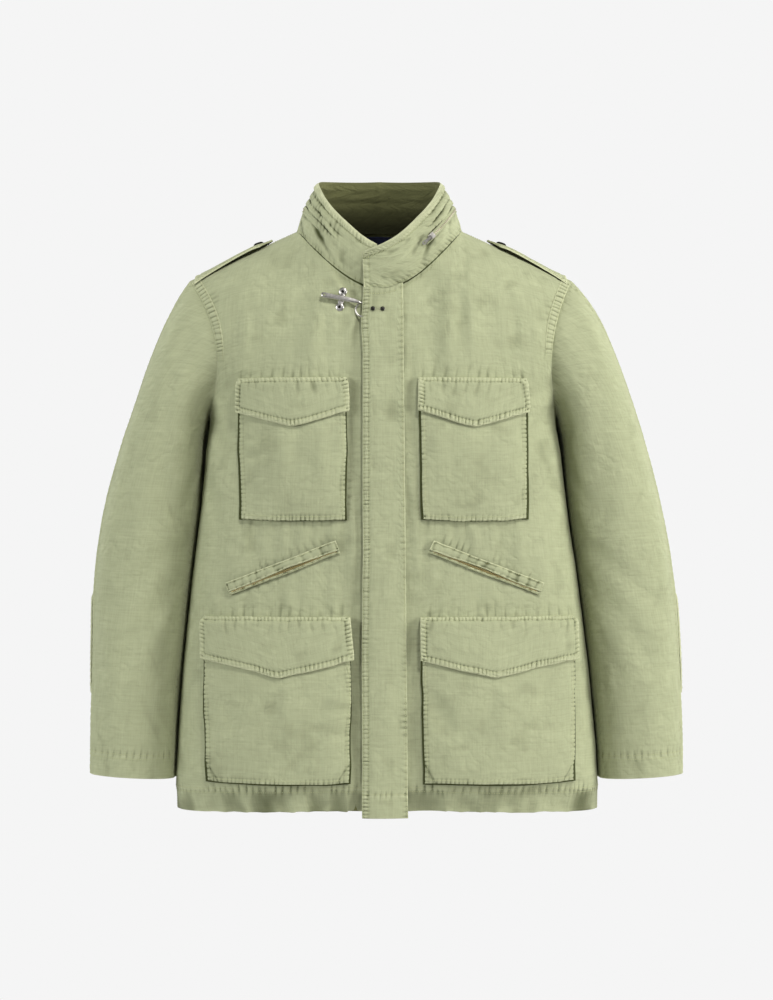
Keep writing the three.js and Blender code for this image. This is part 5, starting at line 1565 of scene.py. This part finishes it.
def make_collar():
    share = spread(650, 1.25)[None]
    level = spread(72, 1.3, first=False)[:, None]
    overlap = np.degrees(np.arcsin(-FLY["left"] / lerp(NECK_HALF, COLLAR_TOP_HALF, level)))
    turned = -2 - share * (358 + overlap)
    angle = np.where(turned < -180, turned + 360, turned)
    lap = np.where(turned < -180, lap_at(angle), 0)
    base = collar_point(angle, level, lap)
    outward = xyz(np.sin(np.radians(angle)), -np.cos(np.radians(angle)), 0)
    across, down = runs(base)
    top_off, lap_off = down[-1:] - down, across[:, -1:] - across
    sideways = smooth((np.abs(angle) - 26) / 20)
    wander = 0.02 * uneven(across, 0, 46, 901) + 0.012 * uneven(across, 0, 17, 902)
    high = 0.8 * gathers(top_off - 6, across, 903, 5.2, 4) + 0.8 * groove(top_off - 9.6)
    high += 0.5 * smooth(top_off / 3) * smooth((9.6 - top_off) / 2)
    for number, (at, deep) in enumerate(((0.54, 1.9), (0.68, 2.3), (0.83, 1.6))):
        strength = 0.62 + 0.6 * uneven(across, 0, 26, 905 + number)
        high -= deep * strength * sideways * np.exp(-(((level - at - wander) / 0.018) ** 2))
        high += 0.6 * sideways * gathers(72 * (level - at), across, 920 + number, 7 + number, 6)
    high -= 0.8 * np.exp(-(((level - COLLAR_ZIP_LEVEL) / 0.06) ** 2)) * zip_shown(angle)
    creases = [(a1 * DEGREE, h1, a2 * DEGREE, h2, *rest) for a1, h1, a2, h2, *rest in COLLAR_CREASES]
    high += creases_at(creases, angle * DEGREE, down, 1.2)
    high += 0.55 * gathers(down - 3, across, 910, 7.2, 6) + 0.3 * groove(down - 2.2)
    high += 0.4 * (groove(lap_off - 2) + groove(lap_off - 8)) + 0.45 * gathers(lap_off - 5, down, 912, 7, 4)
    high += 0.55 * uneven(across, down, 13, 914) + 0.3 * uneven(across + down, 0.5 * down, 6, 915)
    high = high * smooth(top_off / 1.5) * smooth(lap_off / 1.2)
    nearest = np.minimum(top_off, lap_off)
    worn = np.exp(-((nearest / 1.7) ** 2)) + 0.45 * smooth((10 - top_off) / 1) + 0.3 * smooth((9 - lap_off) / 1)
    roll = 0.5 * COLLAR_WALL * (1 - rolled(nearest, 1.8))
    # The lap's foot comes level with the top of the fly.
    foot = lap * (1 - smooth(down / 14)) * smooth((lerp(18, 9, down / 14) - angle) / 8)
    high += foot * (fly_gap(np.clip((12 + angle) / 30, 0, 1)) + DOUBLE_WALL - COLLAR_LAP_RISE)
    outer = base + outward * (high - roll)[..., None]
    middle_back = NECK_HALF * np.radians(180 - np.abs(angle))
    inside = 1.3 * np.exp(-(((middle_back - 2) / 3.4) ** 2)) + 0.4 * uneven(across, 0.5 * down, 22, 917)
    inside = inside + 0.4 * gathers(top_off - 5, across, 918, 8, 4) + 0.3 * groove(top_off - 9.6)
    wall = COLLAR_WALL + 1.8 * smooth((nearest - 2) / 8)
    inner = base - outward * (wall - roll + inside * smooth(nearest / 2))[..., None]
    # Inside, the foot reaches just below the seam, so that no light comes through it.
    inner = inner - xyz(0, 0, 1.5 * smooth((4 - down) / 4))
    # Inside, the collar's colour darkens towards its foot: painted shade.
    inside_painted_shade = -1.7 * smooth((top_off - 6) / 62)
    rows = [level_line(outer, outward, top_off, 9.6), level_line(outer, outward, down, 2.2)]
    rows += [level_line(outer, outward, lap_off, d, axis=1) for d in (2, 8)]
    stitches = sew("collar_stitches", rows, thread)
    piece = cloth_piece("collar", outer, inner, high=high, worn=worn, by=3)
    every = np.concatenate([high.ravel(), inside_painted_shade[::3, ::3].ravel()])
    piece.data.attributes["high"].data.foreach_set("value", every)


make_collar()


def make_collar_zip():
    """The zip round the collar, whose pale teeth run on a tape of the jacket's cloth."""
    turned = -COLLAR_ZIP_FROM - np.linspace(0, 1, 150)[None] * (360 - 2 * COLLAR_ZIP_FROM)
    angle = np.where(turned < -180, turned + 360, turned)
    lap = np.where(turned < -180, lap_at(angle), 0)
    off = np.linspace(-0.075, 0.075, 9)[:, None]
    outward = xyz(np.sin(np.radians(angle)), -np.cos(np.radians(angle)), 0)
    base = collar_point(angle, COLLAR_ZIP_LEVEL + off, lap)
    lips = 1.1 * np.exp(-(((np.abs(off) - 0.036) / 0.016) ** 2))
    shown = zip_shown(angle)
    sunk = LIE_GAP - 2.3 * (1 - shown)
    tape = base + outward * (sunk + lips * shown - 0.5 * (np.abs(off) > 0.07))[..., None]
    under = base + outward * (sunk - 1.0 + 0 * off)[..., None]
    shown = (angle[0] > COLLAR_ZIP_FROM) | (angle[0] < -80)
    line = (collar_point(angle, COLLAR_ZIP_LEVEL, lap) + outward * LIE_GAP)[0][shown]
    teeth = zip_teeth("collar_zip_teeth", line, outward[0][shown], cream, 1.6, (2.6, 1.0, 0.9))
    piece = shell("collar_zip_tape", tape, under)
    finish_piece(piece, cloth)
    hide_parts("collar_zip")


make_collar_zip()


def make_label():
    """A woven label with nothing on it, inside the back of the neck."""
    x, z = np.linspace(-35, 35, 36)[None], np.linspace(-24, 2, 14)[:, None]
    x, z = np.broadcast_arrays(x, z)
    back, face = on_body("back", x, z, np.full(x.shape, -3.94)), on_body("back", x, z, np.full(x.shape, -4.94))
    normal = unit(face - back)
    across, down = runs(face)
    pull = 0.25 * uneven(across, down, 12, 940) + 0.2 * uneven(across, down, 5, 941)
    face = face + normal * pull[..., None]
    rows = border_rows(face, normal, (1.6,))
    stitches = sew("label_stitches", rows, navy)
    piece = shell("label_cloth", face, back, high=pull)
    finish_piece(piece, navy)
    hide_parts("label")


make_label()


def make_front_zip():
    """The front zip behind the fly: a tape on each side of closed teeth."""
    x, z = np.linspace(-14, 14, 9)[None], np.linspace(HEM_Z + 5, -88, 150)[:, None]
    x, z = np.broadcast_arrays(x, z)
    face, back = (on_body("front", x, z, np.full(x.shape, -out)) for out in (3.9, 5.4))
    across, down = runs(face)
    pull = 0.2 * uneven(across, down, 18, 950)
    line, out = back[:, 4], unit(back - face)[:, 4]
    teeth = zip_teeth("front_zip_teeth", line, out, brass, 2.2, (4.4, 1.4, 1.3))
    piece = shell("front_zip_tape", face, back, high=pull)
    finish_piece(piece, lining)
    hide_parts("front_zip")


make_front_zip()


# ---- shoulder straps and elbow patches


def shoulder_z(x, y):
    """Height of the shoulder's surface over a place, found by halving."""
    side_front = y < 0
    low, high = ridge(x) - SHOULDER_ROUND, ridge(x) + 0.0 * y
    for _ in range(24):
        middle = (low + high) / 2
        depth = np.where(side_front, body_depth("front", x, middle), body_depth("back", x, middle))
        deeper = depth > np.abs(y)
        low, high = np.where(deeper, middle, low), np.where(deeper, high, middle)
    return (low + high) / 2


def strap_point(hand, x, across, out):
    x, across, out = np.broadcast_arrays(*(np.asarray(v, float) for v in (x, across, out)))
    span = (STRAP["outer"] - x) / (STRAP["outer"] - STRAP["tip"])
    bow = smooth(span * 1.3) - 0.7 * smooth((span - 0.72) / 0.28)
    lift = lerp(STRAP["low_lift"], STRAP["high_lift"], bow)
    y = across * lerp(2.5, STRAP["half"], np.clip((x - STRAP["tip"]) / STRAP["point"], 0, 1))
    z = shoulder_z(hand * x, 0.9 * y) + lift + out
    return xyz(hand * x + lean(z), y, z)


def shoulder_strap(name, hand, seed):
    along = lerp(STRAP["tip"], STRAP["outer"], spread(STRAP["outer"] - STRAP["tip"], 1.6, by=1))[None]
    across = lerp(-1, 1, spread(2 * STRAP["half"], 1.6, by=1))[:, None]
    base = strap_point(hand, along, across, 0.0)
    normal = grid_normals(base, xyz(0, 0, 1))
    run, wide = runs(base)
    high, worn, nearest = bordered(run, wide, 6.5, seed, 7, 0.4)
    outer = base + xyz(0, 0, 1) * edge_roll(nearest, DOUBLE_WALL)[..., None]
    outer = outer + normal * (high * smooth(nearest / 1.2))[..., None]
    rows = border_rows(outer, normal, (2.2, 6.5), "ltb")
    stitches = sew(f"{name}_stitches", rows, thread)
    cloth_piece(name, outer, base, high=high, worn=worn)


def elbow_patch(name, hand, seed):
    p = ELBOW_PATCH
    u = lerp(-1, 1, spread(140, 1.8))[None]
    v = lerp(-1, 1, spread(150, 1.8))[:, None]
    ring = p["ring"] + p["half_rings"] * v * np.sqrt(1 - 0.32 * u * u)
    angle = p["angle"] + p["half_angle"] * u * np.sqrt(1 - 0.32 * v * v)
    base = on_sleeve(hand, ring, angle, np.full(ring.shape, 0.5 * LIE_GAP))
    normal = unit(on_sleeve(hand, ring, angle, np.full(ring.shape, 0.5 * LIE_GAP + 1)) - base)
    across, down = runs(base)
    high, worn, nearest = bordered(across, down, 7, seed, 7.5, 0.45)
    outer = base + normal * (edge_roll(nearest, 1.2) + high * smooth(nearest / 1.2))[..., None]
    rows = border_rows(outer, normal, (2.5, 7))
    stitches = sew(f"{name}_stitches", rows, thread)
    cloth_piece(name, outer, base, high=high, worn=worn, by=3)


for hand, word in ((1, "left"), (-1, "right")):
    shoulder_strap(f"shoulder_strap_{word}", hand, 960 + 10 * hand)
    elbow_patch(f"elbow_patch_{word}", hand, 980 + 10 * hand)


# ---- metal trim

CLASP = dict(x=-50, z=-94.5, tilt=12, lobe=5.4, lobes_at=10.1, up=0.6)


def model_clasp_plate():
    """The clasp's plate: two domed lobes with a dark sunk eye each, and a saddle between them."""
    bpy.ops.object.select_all(action="DESELECT")
    bpy.ops.mesh.primitive_cylinder_add(vertices=28, radius=CLASP["lobe"], depth=1.2, location=(0, 0, 0.6))
    lobe = start_piece("clasp_lobe")
    pick_faces(lobe, faces_up)
    draw_in([(0.5, 0.45), (0.9, 0.5), (1.2, 0.25), (0.9, -0.1)])
    bpy.ops.mesh.extrude_region_move(TRANSFORM_OT_translate={"value": (0, 0, -1.2)})
    bpy.ops.object.mode_set(mode="OBJECT")
    lobe.data.materials.append(steel)
    lobe.data.materials.append(dark_steel)
    for face in lobe.data.polygons:
        face.material_index = int(face.center.to_2d().length < 2.0 and face.center.z > 0.2)
    bpy.ops.object.duplicate()
    lobes = [lobe, bpy.context.object]
    for piece, side in zip(lobes, (-1, 1)):
        piece.data.transform(mathutils.Matrix.Translation((0, side * CLASP["lobes_at"], 0)))
    bpy.ops.object.select_all(action="DESELECT")
    bpy.ops.mesh.primitive_cube_add(size=1, location=(0, 0, 0.5))
    saddle = bpy.context.object
    saddle.scale = (6.8, 15, 1.6)
    start_piece("saddle")
    saddle.data.materials.append(steel)
    pick_faces(saddle, faces_up)
    draw_in([(0.5, 0.3), (0.9, 0.9)])
    bpy.ops.object.mode_set(mode="OBJECT")
    for piece in lobes:
        piece.select_set(True)
    bpy.context.view_layer.objects.active = saddle
    bpy.ops.object.join()
    saddle.name = saddle.data.name = "clasp_plate_metal"
    bevel = saddle.modifiers.new("edges", "BEVEL")
    bevel.width, bevel.segments, bevel.limit_method = 0.15, 2, "ANGLE"
    bpy.ops.object.modifier_apply(modifier="edges")
    bpy.ops.object.shade_smooth_by_angle(angle=math.radians(35))
    return saddle


def seat_on_front(piece, x, z, tilt, up):
    """Sets a piece modelled flat in millimetres on the front, turned round the cloth's normal."""
    foot = on_body("front", x, z, up)
    out = mathutils.Vector(unit(on_body("front", x, z, up + 1) - foot))
    right = mathutils.Vector((math.cos(math.radians(tilt)), 0, -math.sin(math.radians(tilt))))
    above = out.cross(right).normalized()
    right = above.cross(out)
    turn = mathutils.Matrix((right, above, out)).transposed().to_4x4()
    move = mathutils.Matrix.Translation(mathutils.Vector(foot) * MM)
    piece.data.transform(move @ turn @ mathutils.Matrix.Scale(MM, 4))
    piece.data.update()


plate = model_clasp_plate()
seat_on_front(plate, CLASP["x"], CLASP["z"], CLASP["tilt"], CLASP["up"])
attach(plate, "jacket")
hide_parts("clasp_plate")

TRIM_FINISH = {
    "clasp_lever": steel,
    "clasp_ring": steel,
    "zip_slider": steel,
    "zip_pull": steel,
    "ring_rivet_outer": dark_steel,
    "ring_rivet_inner": dark_steel,
    "strap_button_left": dark_steel,
    "strap_button_right": dark_steel,
}
for node, finish in TRIM_FINISH.items():
    for material_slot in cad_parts[node].material_slots:
        material_slot.material = finish


# ---- floor, camera and light


def pale_material(name, tone):
    material = bpy.data.materials.new(name)
    tree, shader = surface(material)
    place = put(tree, "ShaderNodeTexCoord").outputs["Object"]
    cloud = put(tree, "ShaderNodeTexNoise", {"Vector": place, "Scale": 3.0, "Detail": 3.0})
    faint = (tone * 0.97, tone * 0.97, tone * 0.965, 1)
    shade = blended(tree, cloud.outputs["Fac"], (tone, tone, tone, 1), faint)
    tree.links.new(shade, shader.inputs["Base Color"])
    shader.inputs["Roughness"].default_value = 0.9
    return material


FLOOR_Z = -1.25
bpy.ops.object.select_all(action="DESELECT")
bpy.ops.mesh.primitive_circle_add(vertices=96, radius=1.15, fill_type="NGON", location=(0, 0, FLOOR_Z))
floor = bpy.context.object
floor.name = "floor"
bpy.ops.object.transform_apply(location=True)
floor.data.materials.append(pale_material("pale_floor", 0.86))

PICTURE_MIDDLE = (0.0091, -0.3484)
CAMERA_FAR = 3.5
PICTURE_HALF_HIGH = 0.65
lens = bpy.data.cameras.new("camera")
lens.sensor_width = 36
lens.lens = 18 / (PICTURE_HALF_HIGH / CAMERA_FAR)
camera = bpy.data.objects.new("camera", lens)
camera.location = (PICTURE_MIDDLE[0], -CAMERA_FAR, PICTURE_MIDDLE[1])
camera.rotation_euler = (math.radians(90), 0, 0)
bpy.context.collection.objects.link(camera)
bpy.context.scene.camera = camera


def soft_light(name, place, aim, width, height, energy, tone=(1, 1, 1)):
    light = bpy.data.lights.new(name, "AREA")
    light.shape, light.size, light.size_y = "RECTANGLE", width, height
    light.energy, light.color = energy, tone
    made = bpy.data.objects.new(name, light)
    made.location = place
    way = mathutils.Vector(aim) - mathutils.Vector(place)
    made.rotation_euler = way.to_track_quat("-Z", "Y").to_euler()
    bpy.context.collection.objects.link(made)


MIDDLE = (0.0, 0.0, -0.35)
soft_light("key", (1.0, -2.2, 2.4), MIDDLE, 0.45, 0.45, 79, (1.0, 0.985, 0.96))
soft_light("front", (-0.7, -3.3, 0.1), MIDDLE, 1.2, 1.2, 7)
soft_light("left_side", (2.9, -1.2, 0.2), MIDDLE, 1.2, 1.6, 84, (1.0, 0.99, 0.97))
soft_light("right_side", (-2.8, -1.5, 0.3), MIDDLE, 1.2, 1.4, 60, (0.98, 0.99, 1.0))
soft_light("behind_left", (2.2, 1.6, 0.5), MIDDLE, 1.0, 1.6, 40)
soft_light("behind_right", (-2.2, 1.6, 0.5), MIDDLE, 1.0, 1.6, 40)


def studio_air():
    """Even light all round, and a plain pale background where the camera looks past the jacket."""
    air = bpy.data.worlds.new("studio")
    bpy.context.scene.world = air
    air.use_nodes = True
    tree = air.node_tree
    tree.nodes.clear()
    seen = put(tree, "ShaderNodeLightPath").outputs["Is Camera Ray"]
    around = put(tree, "ShaderNodeBackground", {"Color": (1.0, 0.99, 0.93, 1), "Strength": 0.14})
    behind = put(tree, "ShaderNodeBackground", {"Color": (0.913, 0.913, 0.913, 1), "Strength": 1.0})
    mixed = put(tree, "ShaderNodeMixShader", {0: seen, 1: around.outputs[0], 2: behind.outputs[0]})
    put(tree, "ShaderNodeOutputWorld", {0: mixed.outputs[0]})


studio_air()
bpy.context.scene.view_settings.view_transform = "Standard"
